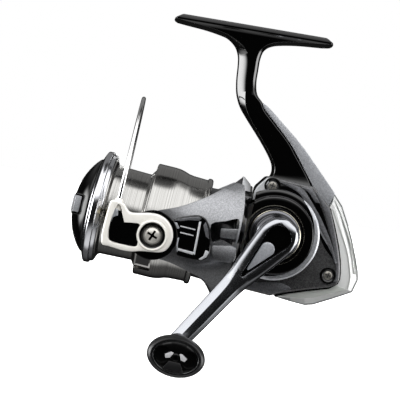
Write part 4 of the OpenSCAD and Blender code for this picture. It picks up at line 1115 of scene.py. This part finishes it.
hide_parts("drag_knob")

# ---- Parts that stay as cut from CAD ----
# Bearings, gears, shafts, springs and washers: plain turned, cut or pressed parts, most of them out of
# sight.

steel = plated("ground steel", "#b9babc", 0.25)
bright_shaft = turned_metal("turned stainless steel", "#cbccce", "#a2a3a6", 0.16, 0.4, 0.05)
zinc = plated("cast zinc", "#9c9a94", 0.4)
brass = plated("machined brass", "#b9a26a", 0.25)
gold = plated("titanium nitride coating", "#b3a888", 0.2)
nylon = moulded("white nylon", "#d8d4c8", "#b5b0a2", 0.45)
felt = moulded("oiled felt and carbon", "#5d5343", "#3a342b", 0.85, grain=0.5, depth=0.5)
clip_black = moulded("black acetal", "#0c0c0d", "#1c1c1e", 0.3)
NODE_FINISHES = {
    steel: [
        "drive_bearing_near", "drive_bearing_far", "pinion_bearing", "clutch_ring", "clutch_rollers",
        "guide_rod", "oscillating_axle", "knob_screw", "bail_spring", "kick_lever", "slider_screw",
        "drag_clip", "drag_knob_clip", "drag_spring", "clutch_screws", "rotor_nut", "nut_lock",
        "clutch_sleeve"
    ],
    bright_shaft: ["main_shaft", "drive_shaft", "knob_shaft"],
    zinc: ["drive_gear", "oscillating_drive_gear", "slider"],
    brass: ["pinion_gear", "pinion_bushing", "drag_nut"],
    gold: ["line_roller"],
    nylon: ["oscillating_gear", "click_gear", "knob_bushings"],
    felt: ["drag_washers"],
    clip_black: ["line_clip", "clutch_housing"],
    black_lacquer: ["port_cap", "handle_bolt", "roller_screw"]
}
for finish, names in NODE_FINISHES.items():
    for name in names:
        for holder_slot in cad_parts[name].material_slots:
            holder_slot.material = finish

# ---- Studio ----
# A pale floor, a white surround, and soft light from above and from both sides. What mirrors see is darker
# straight ahead of and behind the reel, as between the soft boxes of a studio.

world = bpy.data.worlds.new("studio")
bpy.context.scene.world = world
world.use_nodes = True
sky = world.node_tree
sky.nodes.clear()


def ramp(source, start, end, first=0.0, last=1.0):
    """Light that goes smoothly from first to last while the source goes from start to end."""
    return add(
        sky, "MapRange",
        {
            "interpolation_type": "SMOOTHSTEP", "From Min": start, "From Max": end, "To Min": first,
            "To Max": last
        },
        {"Value": source}
    ).outputs["Result"]


def reckon(way, *values):
    """One number worked out from others."""
    return add(sky, "Math", {"operation": way}, dict(enumerate(values))).outputs[0]


toward = add(sky, "SeparateXYZ", {}, {"Vector": add(sky, "TexCoord").outputs["Generated"]})
across, depth, height = (toward.outputs[way] for way in "XYZ")
# The light grows from 11 to 30 degrees above the horizon, and it is dark again overhead
most = reckon("MULTIPLY", ramp(height, 0.19, 0.5), ramp(height, 0.94, 0.99, 1.0, 0.05))
# Upright soft boxes at both sides, a little light back from the floor, and dim behind
most = reckon("MAXIMUM", most, ramp(reckon("ABSOLUTE", across), 0.78, 0.9))
most = reckon("MAXIMUM", most, ramp(height, -0.5, -0.95, 0.0, 0.45))
most = reckon("MULTIPLY", most, ramp(depth, -0.1, 0.2, 1.0, 0.12))
level = add(sky, "MapRange", {"To Min": 0.012, "To Max": 2.0}, {"Value": most}).outputs["Result"]
# Low bright boxes straight to the left and right, which the glossy edges mirror
box = reckon("MULTIPLY", ramp(reckon("ABSOLUTE", height), 0.36, 0.18), ramp(depth, 0.6, 0.4))
for start, end, strength in ((-0.8, -0.98, 9.0), (0.84, 0.96, 4.0)):
    level = reckon("ADD", level, reckon("MULTIPLY", box, ramp(across, start, end, 0.0, strength)))
seen = add(sky, "LightPath")
mirror = add(sky, "Background", {"Color": (1, 1, 1, 1)}, {"Strength": level})
plain = add(sky, "Background", {"Color": (1, 1, 1, 1), "Strength": 1.0})
mix = add(
    sky, "MixShader", {}, {0: seen.outputs["Is Camera Ray"], 1: mirror.outputs[0], 2: plain.outputs[0]}
)
add(sky, "OutputWorld", {}, {"Surface": mix.outputs[0]})

# The floor is a matt white board, which gives off a little light of its own
pale = moulded("matt white board", "#ffffff", "#f4f4f4", 0.8)
glow = pale.node_tree.nodes["Principled BSDF"]
glow.inputs["Emission Color"].default_value = colour("#ffffff")
glow.inputs["Emission Strength"].default_value = 0.8
FLOOR, FLOOR_HALF = -0.139, 3000
FLOOR_CORNERS = ((-1, -1), (1, -1), (1, 1), (-1, 1))
floor_form = loft([[(x * FLOOR_HALF, y * FLOOR_HALF, z) for x, y in FLOOR_CORNERS] for z in (-6, 0)])
floor = bpy.data.objects.new("floor", mesh_of("floor", floor_form))
bpy.context.scene.collection.objects.link(floor)
floor.data.materials.append(pale)
floor.location.z = FLOOR
floor.visible_glossy = False
floor.visible_diffuse = False


def soft_box(name, spot, width, height, watts):
    """A soft box that faces the reel."""
    lamp = bpy.data.lights.new(name, "AREA")
    lamp.shape = "RECTANGLE"
    lamp.size = width
    lamp.size_y = height
    lamp.energy = watts
    holder = bpy.data.objects.new(name, lamp)
    bpy.context.scene.collection.objects.link(holder)
    holder.location = spot
    holder.rotation_euler = (Vector((0, 0, -0.07)) - Vector(spot)).to_track_quat("-Z", "Y").to_euler()
    holder.visible_glossy = False
    return lamp


soft_box("front box above", (-0.1, -0.55, 0.5), 0.7, 0.35, 1.6)
soft_box("back box above", (0.1, 0.6, 0.45), 0.7, 0.35, 1.2)

# The camera stands 400 mm from the reel, a touch above it, and is rolled as the reel hangs
ROLL, RAISE, REACH = math.radians(9.6), math.radians(1.3), 400 * MM
right = Vector((math.cos(ROLL), 0, math.sin(ROLL)))
level_up = Vector((-math.sin(ROLL), 0, math.cos(ROLL)))
ahead = math.cos(RAISE) * Vector((0, 1, 0)) - math.sin(RAISE) * level_up
camera_up = math.cos(RAISE) * level_up + math.sin(RAISE) * Vector((0, 1, 0))
camera = bpy.data.objects.new("camera", bpy.data.cameras.new("camera"))
bpy.context.scene.collection.objects.link(camera)
camera.matrix_world = Matrix.Translation(Vector((-9.57, 0, -68.4)) * MM - REACH * ahead) @ Matrix(
    (right, camera_up, -ahead)
).transposed().to_4x4()
# The lens is 2.6 times as long as the picture is wide
LENS = 2.6
camera.data.angle = 2 * math.atan(0.5 / LENS)
bpy.context.scene.camera = camera
bpy.context.scene.view_settings.view_transform = "Standard"
